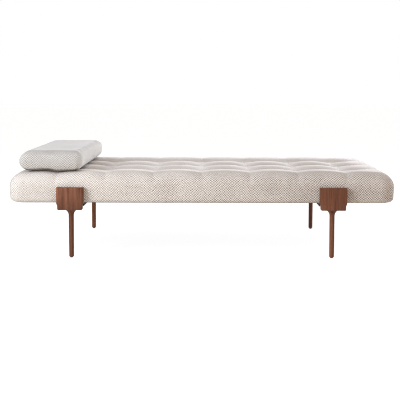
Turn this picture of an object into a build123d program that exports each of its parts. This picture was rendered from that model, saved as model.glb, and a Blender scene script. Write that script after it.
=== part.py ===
from build123d import *
import os

# Daybed: a biscuit-tufted upholstered base on two leg sets, with a loose head cushion.
# Millimetres. +X runs to the foot end, the front long side faces -Y, +Z is up,
# and the origin lies on the floor under the middle of the base.

# Upholstered base
BASE_LENGTH = 2000.0  # over the covered ends
BASE_WIDTH = 900.0  # over the covered sides
BASE_UNDERSIDE = 287.0  # floor to the underside
BASE_THICKNESS = 163.0  # underside to the crests of the puffs
ROLL_RADIUS = 75.0  # rolled top edge
HEM_RADIUS = 20.0  # rounded bottom edge
CORNER_EXTRA = 10.0  # the corners in plan are this much rounder than the roll

# Tufting
TUFT_COLUMNS = 8
TUFT_ROWS = 4
TUFT_CROWN = 21.0  # crest of a puff above the valley beside it

# Soft layers
COVER_THICK = 2.0
WRAP_THICK = 12.0
FILL_GAP = 0.3  # between one layer and the next
HEM_FLAT = 14.0  # cover turned flat under the rails, inward of the rounded hem
DUST_THICK = 0.8
DUST_MARGIN = 2.0  # edge of the dust cover inward of the rounded hem

# Timber frame
RAIL_THICK = 28.0
RAIL_HEIGHT = 66.0
BEARER_THICK = 45.0  # cross rail over a crossbar
MID_RAIL_SPACING = 450.0  # between the two middle cross rails
CORNER_LIP = 10.0  # corner block wider than the rail that butts it
DECK_THICK = 12.0
DOWEL_DIAMETER = 8.0
DOWEL_LENGTH = 40.0
DOWEL_EDGE = 24.0  # dowel centre from the top and bottom of a rail

# Tuft cords
CORD_DIAMETER = 2.5
CORD_KNOT_DIAMETER = 7.0
CORD_KNOT_THICK = 1.6
CORD_KNOT_LIFT = 0.9  # upper knot above the valley floor
TOGGLE_DIAMETER = 18.0
TOGGLE_THICK = 2.5
LOWER_KNOT_DIAMETER = 6.0
LOWER_KNOT_THICK = 3.5

# Legs
LEG_SPACING = 1348.0  # between shaft centres along the length
TAB_THICK = 30.0  # paddle in front of the covered side
TAB_WIDTH = 138.0
TAB_RISE = 82.0  # paddle above the underside of the base
SHOULDER_WIDTH = 128.0
SHOULDER_DROP = 33.0  # shoulder below the underside of the base
COVE_DROP = 16.0  # height of the coved waist
SHOULDER_CORNER = 6.0
BLOCK_WIDTH = 100.0  # shoulder behind the paddle
SHAFT_SETBACK = 52.0  # shaft centre behind the face of the paddle
NECK_DIAMETER = 26.8
FOOT_DIAMETER = 24.4
NECK_FILLET = 34.0
NECK_MARGIN = 1.5  # flat left behind the neck fillet
FOOT_EASE = 4.5
LEG_EASE = 3.0  # softened edge round the face of the paddle
GLIDE_DIAMETER = 15.0
GLIDE_THICK = 4.0
GLIDE_EASE = 1.0
PIN_DIAMETER = 2.5
PIN_LENGTH = 16.0
PIN_IN_GLIDE = 2.0

# Crossbars
BAR_WIDTH = 118.0
BAR_HEIGHT = 25.0
BAR_WALL = 3.0

# Fasteners
BOLT_DIAMETER = 6.0
BOLT_FLATS = 10.0
BOLT_HEAD = 4.0
BOLT_HOLE = 6.6
WASHER_DIAMETER = 18.0
WASHER_THICK = 1.6
INSERT_DIAMETER = 9.0
INSERT_LENGTH = 13.0
INSERT_SPARE = 2.0  # hole drilled deeper than the insert
BOLT_SHORT = 1.0  # bolt tip short of the insert's end
FIT_GAP = 0.05  # round a dowel, screw, pin or insert in its hole
TAB_BOLT_SPACING = 80.0
TAB_BOLT_RISE = 36.0  # above the underside of the base
BLOCK_BOLT_SPACING = 60.0
BAR_SCREW_DIAMETER = 5.0
BAR_SCREW_LENGTH = 40.0
BAR_SCREW_HEAD = 9.0
BAR_SCREW_HEAD_THICK = 3.2
BAR_SCREW_PITCH = 130.0
BAR_SCREW_PAIRS = 3
DECK_SCREW_DIAMETER = 4.0
DECK_SCREW_LENGTH = 30.0
DECK_SCREW_HEAD = 8.0
DECK_SCREW_HEAD_THICK = 2.4
LONG_RAIL_SCREWS = 8
END_RAIL_SCREWS = 4
CROSS_RAIL_SCREWS = 2
CROSS_RAIL_SCREW_PITCH = 225.0
STAPLE_CROWN = 10.0
STAPLE_WIRE = 0.8
STAPLE_LEG = 7.0
STAPLE_PITCH = 110.0
STAPLE_EDGE = 5.0  # staple from the edge of the dust cover

# Head cushion
CUSHION_DEPTH = 330.0  # along the length of the daybed
CUSHION_SPAN = 860.0  # across it
CUSHION_THICK = 103.0
CUSHION_ROLL = 28.0
CUSHION_CORNER_EXTRA = 4.0
CUSHION_FROM_HEAD = 54.0  # behind the head end of the base
REST_GAP = 0.3  # under the cushion
ZIP_WIDTH = 6.0
ZIP_THICK = 2.0
ZIP_SUNK = 1.2  # into the cover
ZIP_SLIT_GAP = 0.2
ZIP_TRAVEL = 600.0
ZIP_SPARE = 10.0  # zip past the slider at each end of its travel
SLIDER_LENGTH = 14.0
SLIDER_WIDTH = 10.0
SLIDER_THICK = 4.2
SLIDER_GAP = 0.3
PULL_LENGTH = 22.0
PULL_WIDTH = 6.0
PULL_THICK = 1.2
PULL_GAP = 0.2
POST_DIAMETER = 2.4
POST_HEAD_DIAMETER = 4.4
POST_HEAD_THICK = 0.8

# Levels and places that follow
BASE_TOP = BASE_UNDERSIDE + BASE_THICKNESS
PLAN_RADIUS = ROLL_RADIUS + CORNER_EXTRA
FRAME_INSET = COVER_THICK + FILL_GAP
FOAM_INSET = FRAME_INSET + WRAP_THICK + FILL_GAP
FRAME_FLOOR = BASE_UNDERSIDE + FRAME_INSET
RAIL_TOP = FRAME_FLOOR + RAIL_HEIGHT
DECK_TOP = RAIL_TOP + DECK_THICK
HEM_TURN = HEM_RADIUS + HEM_FLAT
DUST_EDGE = HEM_RADIUS + DUST_MARGIN
CORNER_BLOCK = PLAN_RADIUS + CORNER_LIP
RAIL_OUTER = BASE_WIDTH / 2 - FRAME_INSET
RAIL_INNER = RAIL_OUTER - RAIL_THICK
END_OUTER = BASE_LENGTH / 2 - FRAME_INSET
END_INNER = END_OUTER - RAIL_THICK
LONG_RAIL_END = BASE_LENGTH / 2 - CORNER_BLOCK
END_RAIL_END = BASE_WIDTH / 2 - CORNER_BLOCK
RECESS_DEPTH = TOGGLE_THICK + LOWER_KNOT_THICK + FILL_GAP
LEG_X = LEG_SPACING / 2
LEG_FACE = BASE_WIDTH / 2 + TAB_THICK
TAB_TOP = BASE_UNDERSIDE + TAB_RISE
SHOULDER_FLOOR = BASE_UNDERSIDE - SHOULDER_DROP
BLOCK_DEPTH = SHAFT_SETBACK + NECK_DIAMETER / 2 + NECK_FILLET + NECK_MARGIN
BLOCK_BACK = LEG_FACE - BLOCK_DEPTH
SHAFT_Y = LEG_FACE - SHAFT_SETBACK
BAR_TOP = BASE_UNDERSIDE - DUST_THICK
BAR_FLOOR = BAR_TOP - BAR_HEIGHT
BLOCK_BOLT_Z = BAR_TOP - BAR_HEIGHT / 2
TAB_BOLT_Z = BASE_UNDERSIDE + TAB_BOLT_RISE
CUSHION_FLOOR = BASE_TOP + REST_GAP
CUSHION_CORNER = CUSHION_ROLL + CUSHION_CORNER_EXTRA
CUSHION_HEAD_FACE = -BASE_LENGTH / 2 + CUSHION_FROM_HEAD
CUSHION_X = CUSHION_HEAD_FACE + CUSHION_DEPTH / 2
ZIP_Z = CUSHION_FLOOR + CUSHION_THICK / 2
ZIP_LENGTH = ZIP_TRAVEL + SLIDER_LENGTH + 2 * ZIP_SPARE
ZIP_PROUD = ZIP_THICK - ZIP_SUNK
ENDS = {"head": -1, "foot": 1}
SIDES = {"front": -1, "rear": 1}
BASE_UP = (Align.CENTER, Align.CENTER, Align.MIN)


# Shared shapes
def box_between(low, high):
    """An upright box between two opposite corners."""
    size = [b - a for a, b in zip(low, high)]
    middle = [(a + b) / 2 for a, b in zip(low, high)]
    return Pos(*middle) * Box(*size)


def rod(diameter, length, start, direction):
    """A round bar from a start point along a direction."""
    place = Plane(origin=start, z_dir=direction)
    return place * Cylinder(diameter / 2, length, align=BASE_UP)


def spread(count, span):
    """Centres of equal bays of a span about zero."""
    return [(i + 0.5) * span / count - span / 2 for i in range(count)]


def rolled_slab(inset):
    """The base with its rolled top edge, drawn in by inset all round."""
    plan = RectangleRounded(BASE_LENGTH - 2 * inset, BASE_WIDTH - 2 * inset, PLAN_RADIUS - inset)
    slab = extrude(Pos(0, 0, BASE_UNDERSIDE + inset) * plan, BASE_THICKNESS - 2 * inset)
    return fillet(slab.edges().group_by(Axis.Z)[-1], ROLL_RADIUS - inset)


def hemmed(slab, inset):
    """A rolled slab with its bottom edge rounded."""
    return fillet(slab.edges().group_by(Axis.Z)[0], HEM_RADIUS - inset)


def puff_ridges(span, count, crest):
    """A block under a row of arched ridges that follow one another along X."""
    pitch = span / count
    valley = crest - TUFT_CROWN
    left = -span / 2 - pitch
    right = span / 2 + pitch
    outline = [
        Line((left, 0), (right, 0)),
        Line((left, 0), (left, valley)),
        Line((right, 0), (right, valley)),
    ]
    for i in range(count + 2):
        x = left + i * pitch
        outline.append(ThreePointArc((x, valley), (x + pitch / 2, crest), (x + pitch, valley)))
    return extrude(Plane.XZ * make_face(outline), amount=BASE_LENGTH, both=True)


def puffed(slab, inset):
    """A slab with its top gathered into rows and columns of puffs."""
    crest = BASE_TOP - inset
    columns = puff_ridges(BASE_LENGTH, TUFT_COLUMNS, crest)
    rows = Rot(0, 0, 90) * puff_ridges(BASE_WIDTH, TUFT_ROWS, crest)
    return slab & columns & rows


def above_deck(shape):
    """The part of a shape that lies on the deck."""
    room = box_between((-BASE_LENGTH, -BASE_WIDTH, DECK_TOP), (BASE_LENGTH, BASE_WIDTH, 2 * BASE_TOP))
    return shape & room


# Places of what repeats
def tuft_points():
    """Crossings of the valleys between the puffs."""
    columns = [i * BASE_LENGTH / TUFT_COLUMNS - BASE_LENGTH / 2 for i in range(1, TUFT_COLUMNS)]
    rows = [j * BASE_WIDTH / TUFT_ROWS - BASE_WIDTH / 2 for j in range(1, TUFT_ROWS)]
    return [(x, y) for x in columns for y in rows]


def cross_rail_places():
    """Middle of every cross rail along X, with its thickness."""
    bearers = [(end * LEG_X, BEARER_THICK) for end in ENDS.values()]
    middles = [(end * MID_RAIL_SPACING / 2, RAIL_THICK) for end in ENDS.values()]
    return bearers + middles


def dowel_places():
    """Middle of every dowel and the way it points."""
    heights = [FRAME_FLOOR + DOWEL_EDGE, RAIL_TOP - DOWEL_EDGE]
    places = []
    for z in heights:
        for end in ENDS.values():
            for side in SIDES.values():
                places.append(((end * LONG_RAIL_END, side * (RAIL_INNER + RAIL_THICK / 2), z), (1, 0, 0)))
                places.append(((end * (END_INNER + RAIL_THICK / 2), side * END_RAIL_END, z), (0, 1, 0)))
        for x, _ in cross_rail_places():
            for side in SIDES.values():
                places.append(((x, side * RAIL_INNER, z), (0, 1, 0)))
    return places


def deck_screw_places():
    """Every screw that holds the deck down on the frame."""
    along = spread(LONG_RAIL_SCREWS, 2 * LONG_RAIL_END)
    across = spread(END_RAIL_SCREWS, 2 * END_RAIL_END)
    inside = spread(CROSS_RAIL_SCREWS, CROSS_RAIL_SCREWS * CROSS_RAIL_SCREW_PITCH)
    places = []
    for side in SIDES.values():
        places += [(x, side * (RAIL_INNER + RAIL_THICK / 2)) for x in along]
    for end in ENDS.values():
        places += [(end * (END_INNER + RAIL_THICK / 2), y) for y in across]
    for x, _ in cross_rail_places():
        places += [(x, y) for y in inside]
    return places


def bar_screw_places():
    """Every screw that goes up through a crossbar into its bearer."""
    count = 2 * BAR_SCREW_PAIRS
    return [(end * LEG_X, y) for end in ENDS.values() for y in spread(count, count * BAR_SCREW_PITCH)]


def paired_places(spacing):
    """X of each bolt of a pair at every leg, with the leg's side."""
    return [
        (end * LEG_X + pair * spacing / 2, side)
        for end in ENDS.values()
        for side in SIDES.values()
        for pair in (-1, 1)
    ]


# Holes that several pieces share
def cord_holes():
    bottom = RAIL_TOP - 1
    diameter = CORD_DIAMETER + 2 * FILL_GAP
    return [rod(diameter, BASE_TOP - bottom, (x, y, bottom), (0, 0, 1)) for x, y in tuft_points()]


def dowel_holes():
    length = DOWEL_LENGTH + 2 * FILL_GAP
    holes = []
    for middle, way in dowel_places():
        start = [m - w * length / 2 for m, w in zip(middle, way)]
        holes.append(rod(DOWEL_DIAMETER + 2 * FIT_GAP, length, start, way))
    return holes


def deck_screw_holes():
    top = DECK_TOP - DECK_SCREW_LENGTH - FILL_GAP
    diameter = DECK_SCREW_DIAMETER + 2 * FIT_GAP
    return [rod(diameter, DECK_TOP - top, (x, y, top), (0, 0, 1)) for x, y in deck_screw_places()]


def tab_bolt_holes():
    length = LEG_FACE - TAB_THICK - RAIL_INNER + 1
    return [
        rod(BOLT_HOLE, length, (x, side * (RAIL_INNER - 1), TAB_BOLT_Z), (0, side, 0))
        for x, side in paired_places(TAB_BOLT_SPACING)
    ]


def bar_screw_holes(gap):
    bottom = BAR_FLOOR
    length = BAR_TOP - BAR_WALL + BAR_SCREW_LENGTH + FILL_GAP - bottom
    diameter = BAR_SCREW_DIAMETER + 2 * gap
    return [rod(diameter, length, (x, y, bottom), (0, 0, 1)) for x, y in bar_screw_places()]


def staple_places():
    """Staples round the edge of the dust cover, clear of the legs, with the turn of each."""
    inward = DUST_EDGE + STAPLE_EDGE
    clear = TAB_WIDTH / 2 + 2 * STAPLE_CROWN
    along = spread(int(2 * LONG_RAIL_END / STAPLE_PITCH), 2 * LONG_RAIL_END)
    across = spread(int(2 * END_RAIL_END / STAPLE_PITCH), 2 * END_RAIL_END)
    places = []
    for side in SIDES.values():
        y = side * (BASE_WIDTH / 2 - inward)
        places += [(x, y, 0) for x in along if abs(abs(x) - LEG_X) > clear]
    for end in ENDS.values():
        places += [(end * (BASE_LENGTH / 2 - inward), y, 90) for y in across]
    return places


def staple_prongs(x, y, turn, gap):
    """The two legs of a staple, up through the dust cover and hem into the rail."""
    half = STAPLE_WIRE / 2 + gap
    prong = box_between((-half, -half, -STAPLE_WIRE), (half, half, STAPLE_LEG + gap))
    place = Pos(x, y, BAR_TOP) * Rot(0, 0, turn)
    return [place * Pos(s * STAPLE_CROWN / 2, 0, 0) * prong for s in (-1, 1)]


def staple_slots():
    return [slot for place in staple_places() for slot in staple_prongs(*place, FIT_GAP)]


# Base: soft layers
def mattress_cover():
    """The tufted cover, hemmed under the rails and open in the middle of its underside."""
    outer = puffed(hemmed(rolled_slab(0), 0), 0)
    inner = puffed(hemmed(rolled_slab(COVER_THICK), COVER_THICK), COVER_THICK)
    opening = Box(BASE_LENGTH - 2 * HEM_TURN, BASE_WIDTH - 2 * HEM_TURN, 4 * COVER_THICK)
    shell = outer - inner - Pos(0, 0, BASE_UNDERSIDE) * opening
    return shell - cord_holes() - tab_bolt_holes() - staple_slots()


def fibre_wrap():
    """Wadding over the top and sides of the foam."""
    outer = above_deck(puffed(rolled_slab(FRAME_INSET), FRAME_INSET))
    inner = above_deck(puffed(rolled_slab(FOAM_INSET - FILL_GAP), FOAM_INSET - FILL_GAP))
    return outer - inner - cord_holes()


def foam_core():
    return above_deck(puffed(rolled_slab(FOAM_INSET), FOAM_INSET)) - cord_holes()


def tuft_cords():
    """A cord through the base at each tuft point, knotted over the cover and under its toggle."""
    top = BASE_TOP - TUFT_CROWN + CORD_KNOT_LIFT
    bottom = RAIL_TOP + RECESS_DEPTH - TOGGLE_THICK - LOWER_KNOT_THICK
    cords = []
    for x, y in tuft_points():
        line = rod(CORD_DIAMETER, top - bottom, (x, y, bottom), (0, 0, 1))
        upper = rod(CORD_KNOT_DIAMETER, CORD_KNOT_THICK, (x, y, top), (0, 0, 1))
        lower = rod(LOWER_KNOT_DIAMETER, LOWER_KNOT_THICK, (x, y, bottom), (0, 0, 1))
        cords.append(line + upper + lower)
    return Compound(children=cords)


def tuft_toggles():
    """A disc in the deck's underside that each cord pulls against."""
    floor = RAIL_TOP + RECESS_DEPTH - TOGGLE_THICK
    toggles = []
    for x, y in tuft_points():
        disc = rod(TOGGLE_DIAMETER, TOGGLE_THICK, (x, y, floor), (0, 0, 1))
        toggles.append(disc - rod(CORD_DIAMETER + 2 * FIT_GAP, TOGGLE_THICK, (x, y, floor), (0, 0, 1)))
    return Compound(children=toggles)


def dust_cover():
    """Thin black sheet under the base, notched round the leg shoulders."""
    sheet = box_between(
        (-BASE_LENGTH / 2 + DUST_EDGE, -BASE_WIDTH / 2 + DUST_EDGE, BAR_TOP),
        (BASE_LENGTH / 2 - DUST_EDGE, BASE_WIDTH / 2 - DUST_EDGE, BASE_UNDERSIDE),
    )
    corner_cut = PLAN_RADIUS - DUST_EDGE
    sheet = fillet(sheet.edges().filter_by(Axis.Z), corner_cut)
    notch = Box(TAB_WIDTH + 2 * DUST_MARGIN, 2 * (BLOCK_DEPTH + DUST_MARGIN), 4 * DUST_THICK)
    notches = [
        Pos(end * LEG_X, side * LEG_FACE, BAR_TOP) * notch
        for end in ENDS.values()
        for side in SIDES.values()
    ]
    return sheet - notches - bar_screw_holes(FILL_GAP) - staple_slots()


def dust_staples():
    """Wire staples that hold the dust cover and hem to the rails."""
    half = STAPLE_CROWN / 2
    crown = box_between((-half, -STAPLE_WIRE / 2, -STAPLE_WIRE), (half, STAPLE_WIRE / 2, 0))
    staples = []
    for x, y, turn in staple_places():
        bridge = Pos(x, y, BAR_TOP) * Rot(0, 0, turn) * crown
        staples.append(bridge + staple_prongs(x, y, turn, 0))
    return Compound(children=staples)


# Base: timber frame
def drilled(timber):
    """A frame member with every dowel, bolt, screw and staple hole that crosses it."""
    screws = deck_screw_holes() + bar_screw_holes(FIT_GAP)
    return timber - dowel_holes() - tab_bolt_holes() - screws - staple_slots()


def frame_envelope():
    """The room inside the cover that the frame fills to its edges."""
    return hemmed(rolled_slab(FRAME_INSET), FRAME_INSET)


def long_rail(side):
    low, high = sorted((side * RAIL_INNER, side * RAIL_OUTER))
    timber = box_between((-LONG_RAIL_END, low, FRAME_FLOOR), (LONG_RAIL_END, high, RAIL_TOP))
    return drilled(timber & frame_envelope())


def end_rail(end):
    low, high = sorted((end * END_INNER, end * END_OUTER))
    timber = box_between((low, -END_RAIL_END, FRAME_FLOOR), (high, END_RAIL_END, RAIL_TOP))
    return drilled(timber & frame_envelope())


def corner_block(end, side):
    """Block that fills a rounded corner, chamfered on the inside."""
    plan = [
        (LONG_RAIL_END, RAIL_OUTER),
        (END_OUTER, RAIL_OUTER),
        (END_OUTER, END_RAIL_END),
        (END_INNER - CORNER_LIP, END_RAIL_END),
        (LONG_RAIL_END, RAIL_INNER - CORNER_LIP),
    ]
    face = make_face(Polyline([(end * x, side * y) for x, y in plan], close=True))
    timber = extrude(Pos(0, 0, FRAME_FLOOR) * face, RAIL_HEIGHT, dir=(0, 0, 1))
    return drilled(timber & frame_envelope())


def bearer(end):
    """Cross rail over a crossbar, with a foot that bears on it through the dust cover."""
    x = end * LEG_X
    half = BEARER_THICK / 2
    foot_end = min(BASE_WIDTH / 2 - HEM_TURN, BLOCK_BACK) - FILL_GAP
    timber = box_between((x - half, -RAIL_INNER, FRAME_FLOOR), (x + half, RAIL_INNER, RAIL_TOP))
    foot = box_between((x - half, -foot_end, BASE_UNDERSIDE), (x + half, foot_end, RAIL_TOP))
    return drilled(timber + foot)


def middle_rail(end):
    x = end * MID_RAIL_SPACING / 2
    half = RAIL_THICK / 2
    return drilled(box_between((x - half, -RAIL_INNER, FRAME_FLOOR), (x + half, RAIL_INNER, RAIL_TOP)))


def frame_dowels():
    dowels = []
    for middle, way in dowel_places():
        start = [m - w * DOWEL_LENGTH / 2 for m, w in zip(middle, way)]
        dowels.append(rod(DOWEL_DIAMETER, DOWEL_LENGTH, start, way))
    return Compound(children=dowels)


def countersink(x, y, gap):
    """Head of a deck screw, flush with the deck."""
    top = DECK_SCREW_HEAD / 2 + gap
    bottom = DECK_SCREW_DIAMETER / 2 + gap
    cone = Cone(bottom, top, DECK_SCREW_HEAD_THICK, align=BASE_UP)
    return Pos(x, y, DECK_TOP - DECK_SCREW_HEAD_THICK) * cone


def deck_panel():
    """Plywood deck, drilled for the cords and recessed below for their toggles."""
    board = box_between((-END_OUTER, -RAIL_OUTER, RAIL_TOP), (END_OUTER, RAIL_OUTER, DECK_TOP))
    board &= frame_envelope()
    recess = TOGGLE_DIAMETER + 2 * FILL_GAP
    recesses = [rod(recess, RECESS_DEPTH, (x, y, RAIL_TOP), (0, 0, 1)) for x, y in tuft_points()]
    sinks = [countersink(x, y, FIT_GAP) for x, y in deck_screw_places()]
    return board - recesses - cord_holes() - deck_screw_holes() - sinks


def deck_screws():
    screws = []
    for x, y in deck_screw_places():
        start = (x, y, DECK_TOP - DECK_SCREW_LENGTH)
        screws.append(rod(DECK_SCREW_DIAMETER, DECK_SCREW_LENGTH, start, (0, 0, 1)) + countersink(x, y, 0))
    return Compound(children=screws)


# Legs
def leg_outline():
    """Front view of the paddle: straight tab, coved waist under the base, rounded lower corners."""
    waist = BASE_UNDERSIDE - COVE_DROP
    tab = TAB_WIDTH / 2
    low = SHOULDER_WIDTH / 2
    edges = [
        Line((-tab, TAB_TOP), (tab, TAB_TOP)),
        Line((SHOULDER_CORNER - low, SHOULDER_FLOOR), (low - SHOULDER_CORNER, SHOULDER_FLOOR)),
    ]
    for s in (-1, 1):
        corner = (s * low, SHOULDER_FLOOR + SHOULDER_CORNER)
        edges.append(Line((s * tab, TAB_TOP), (s * tab, BASE_UNDERSIDE)))
        edges.append(TangentArc((s * low, waist), (s * tab, BASE_UNDERSIDE), tangent=(0, 1)))
        edges.append(Line((s * low, waist), corner))
        edges.append(TangentArc(corner, (s * (low - SHOULDER_CORNER), SHOULDER_FLOOR), tangent=(0, -1)))
    return make_face(edges)


def front_leg():
    """A front leg standing at X zero: paddle, narrower shoulder under the base, and turned shaft."""
    face = Plane(origin=(0, -LEG_FACE, 0), x_dir=(1, 0, 0), z_dir=(0, -1, 0))
    paddle = extrude(face * leg_outline(), amount=-TAB_THICK)
    paddle = fillet(paddle.faces().sort_by(Axis.Y)[0].outer_wire().edges(), LEG_EASE)
    shoulder = box_between(
        (-BLOCK_WIDTH / 2, -LEG_FACE + TAB_THICK / 2, SHOULDER_FLOOR),
        (BLOCK_WIDTH / 2, -BLOCK_BACK, BASE_UNDERSIDE),
    )
    block = paddle + shoulder
    shaft = Cone(FOOT_DIAMETER / 2, NECK_DIAMETER / 2, SHOULDER_FLOOR - GLIDE_THICK, align=BASE_UP)
    leg = block + Pos(0, -SHAFT_Y, GLIDE_THICK) * shaft
    under = leg.edges().filter_by_position(Axis.Z, SHOULDER_FLOOR - 0.01, SHOULDER_FLOOR + 0.01)
    leg = fillet(under.filter_by(GeomType.CIRCLE), NECK_FILLET)
    leg = fillet(leg.edges().group_by(Axis.Z)[0], FOOT_EASE)
    hole = INSERT_DIAMETER + 2 * FIT_GAP
    depth = INSERT_LENGTH + INSERT_SPARE
    holes = [rod(PIN_DIAMETER + 2 * FIT_GAP, PIN_LENGTH + FILL_GAP, (0, -SHAFT_Y, 0), (0, 0, 1))]
    for s in (-1, 1):
        tab_start = (s * TAB_BOLT_SPACING / 2, -BASE_WIDTH / 2, TAB_BOLT_Z)
        block_start = (s * BLOCK_BOLT_SPACING / 2, -BLOCK_BACK, BLOCK_BOLT_Z)
        holes.append(rod(hole, depth, tab_start, (0, -1, 0)))
        holes.append(rod(hole, depth, block_start, (0, -1, 0)))
    return leg - holes


def foot_glides():
    """A nylon disc under each shaft."""
    glides = []
    for x, y in [(end * LEG_X, side * SHAFT_Y) for end in ENDS.values() for side in SIDES.values()]:
        disc = rod(GLIDE_DIAMETER, GLIDE_THICK, (x, y, 0), (0, 0, 1))
        disc = fillet(disc.edges().group_by(Axis.Z)[0], GLIDE_EASE)
        start = (x, y, GLIDE_THICK - PIN_IN_GLIDE)
        glides.append(disc - rod(PIN_DIAMETER + 2 * FIT_GAP, GLIDE_THICK, start, (0, 0, 1)))
    return Compound(children=glides)


def glide_pins():
    """The pin of each glide, driven into its shaft."""
    bottom = GLIDE_THICK - PIN_IN_GLIDE
    return Compound(
        children=[
            rod(PIN_DIAMETER, PIN_LENGTH - bottom, (end * LEG_X, side * SHAFT_Y, bottom), (0, 0, 1))
            for end in ENDS.values()
            for side in SIDES.values()
        ]
    )


def crossbar(end):
    """Black steel tray, open below, between the front and rear shoulders."""
    x = end * LEG_X
    half = BAR_WIDTH / 2
    bar = box_between((x - half, -BLOCK_BACK, BAR_FLOOR), (x + half, BLOCK_BACK, BAR_TOP))
    hollow = box_between(
        (x - half + BAR_WALL, -BLOCK_BACK + BAR_WALL, BAR_FLOOR - BAR_WALL),
        (x + half - BAR_WALL, BLOCK_BACK - BAR_WALL, BAR_TOP - BAR_WALL),
    )
    bolts = [
        rod(BOLT_HOLE, 3 * BAR_WALL, (bx, side * (BLOCK_BACK - 2 * BAR_WALL), BLOCK_BOLT_Z), (0, side, 0))
        for bx, side in paired_places(BLOCK_BOLT_SPACING)
    ]
    return bar - hollow - bolts - bar_screw_holes(FILL_GAP)


# Fasteners of the legs and crossbars
def hex_bolt(length, seat, way):
    """A hexagon bolt with the underside of its head at the seat."""
    place = Plane(origin=seat, z_dir=way)
    head = extrude(RegularPolygon(BOLT_FLATS / 2, 6, major_radius=False), -BOLT_HEAD)
    return place * head + rod(BOLT_DIAMETER, length, seat, way)


def tab_bolts():
    """Bolts out through the rail and cover into the paddle."""
    seat = RAIL_INNER - WASHER_THICK
    length = BASE_WIDTH / 2 + INSERT_LENGTH - BOLT_SHORT - seat
    places = paired_places(TAB_BOLT_SPACING)
    return Compound(children=[hex_bolt(length, (x, s * seat, TAB_BOLT_Z), (0, s, 0)) for x, s in places])


def tab_washers():
    washers = []
    for x, side in paired_places(TAB_BOLT_SPACING):
        start = (x, side * (RAIL_INNER - WASHER_THICK), TAB_BOLT_Z)
        ring = rod(WASHER_DIAMETER, WASHER_THICK, start, (0, side, 0))
        washers.append(ring - rod(BOLT_HOLE, WASHER_THICK, start, (0, side, 0)))
    return Compound(children=washers)


def block_bolts():
    """Bolts out through a crossbar's end into the shoulder."""
    seat = BLOCK_BACK - BAR_WALL
    length = BAR_WALL + INSERT_LENGTH - BOLT_SHORT
    places = paired_places(BLOCK_BOLT_SPACING)
    return Compound(children=[hex_bolt(length, (x, s * seat, BLOCK_BOLT_Z), (0, s, 0)) for x, s in places])


def leg_inserts():
    """Threaded brass inserts in the paddles and shoulders."""
    starts = [((x, s * BASE_WIDTH / 2, TAB_BOLT_Z), s) for x, s in paired_places(TAB_BOLT_SPACING)]
    starts += [((x, s * BLOCK_BACK, BLOCK_BOLT_Z), s) for x, s in paired_places(BLOCK_BOLT_SPACING)]
    inserts = []
    for start, side in starts:
        sleeve = rod(INSERT_DIAMETER, INSERT_LENGTH, start, (0, side, 0))
        inserts.append(sleeve - rod(BOLT_DIAMETER + 2 * FIT_GAP, INSERT_LENGTH, start, (0, side, 0)))
    return Compound(children=inserts)


def crossbar_screws():
    """Pan-head screws up through the crossbars into the bearers."""
    seat = BAR_TOP - BAR_WALL
    screws = []
    for x, y in bar_screw_places():
        head = rod(BAR_SCREW_HEAD, BAR_SCREW_HEAD_THICK, (x, y, seat), (0, 0, -1))
        screws.append(head + rod(BAR_SCREW_DIAMETER, BAR_SCREW_LENGTH, (x, y, seat), (0, 0, 1)))
    return Compound(children=screws)


# Head cushion
def cushion_slab(inset):
    """The cushion as a rounded slab, drawn in by inset all round."""
    plan = RectangleRounded(CUSHION_DEPTH - 2 * inset, CUSHION_SPAN - 2 * inset, CUSHION_CORNER - inset)
    slab = extrude(Pos(CUSHION_X, 0, CUSHION_FLOOR + inset) * plan, CUSHION_THICK - 2 * inset)
    rims = slab.edges().group_by(Axis.Z)
    return fillet(rims[0] + rims[-1], CUSHION_ROLL - inset)


def cushion_cover():
    """Cover of the cushion, with a slit along its head side that the zip is sewn into."""
    half = ZIP_WIDTH / 2 + ZIP_SLIT_GAP
    slit = box_between(
        (CUSHION_HEAD_FACE - 1, -ZIP_LENGTH / 2 - ZIP_SLIT_GAP, ZIP_Z - half),
        (CUSHION_HEAD_FACE + ZIP_SUNK, ZIP_LENGTH / 2 + ZIP_SLIT_GAP, ZIP_Z + half),
    )
    return cushion_slab(0) - cushion_slab(COVER_THICK) - slit


def cushion_core():
    return cushion_slab(COVER_THICK + FILL_GAP)


def zip_chain():
    """The closed zip, standing a little proud of the cover."""
    return box_between(
        (CUSHION_HEAD_FACE - ZIP_PROUD, -ZIP_LENGTH / 2, ZIP_Z - ZIP_WIDTH / 2),
        (CUSHION_HEAD_FACE + ZIP_SUNK, ZIP_LENGTH / 2, ZIP_Z + ZIP_WIDTH / 2),
    )


def zip_slider():
    """Slider astride the zip at its closed end, with a headed post for the pull."""
    near = CUSHION_HEAD_FACE - SLIDER_GAP
    far = near - SLIDER_THICK
    middle = ZIP_TRAVEL / 2
    groove_half = ZIP_WIDTH / 2 + SLIDER_GAP
    groove_floor = CUSHION_HEAD_FACE - ZIP_PROUD - SLIDER_GAP
    body = box_between(
        (far, middle - SLIDER_LENGTH / 2, ZIP_Z - SLIDER_WIDTH / 2),
        (near, middle + SLIDER_LENGTH / 2, ZIP_Z + SLIDER_WIDTH / 2),
    )
    groove = box_between(
        (groove_floor, middle - SLIDER_LENGTH, ZIP_Z - groove_half),
        (near + 1, middle + SLIDER_LENGTH, ZIP_Z + groove_half),
    )
    neck = PULL_THICK + 2 * PULL_GAP
    post = rod(POST_DIAMETER, neck, (far, middle, ZIP_Z), (-1, 0, 0))
    head = rod(POST_HEAD_DIAMETER, POST_HEAD_THICK, (far - neck, middle, ZIP_Z), (-1, 0, 0))
    return body - groove + post + head


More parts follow.
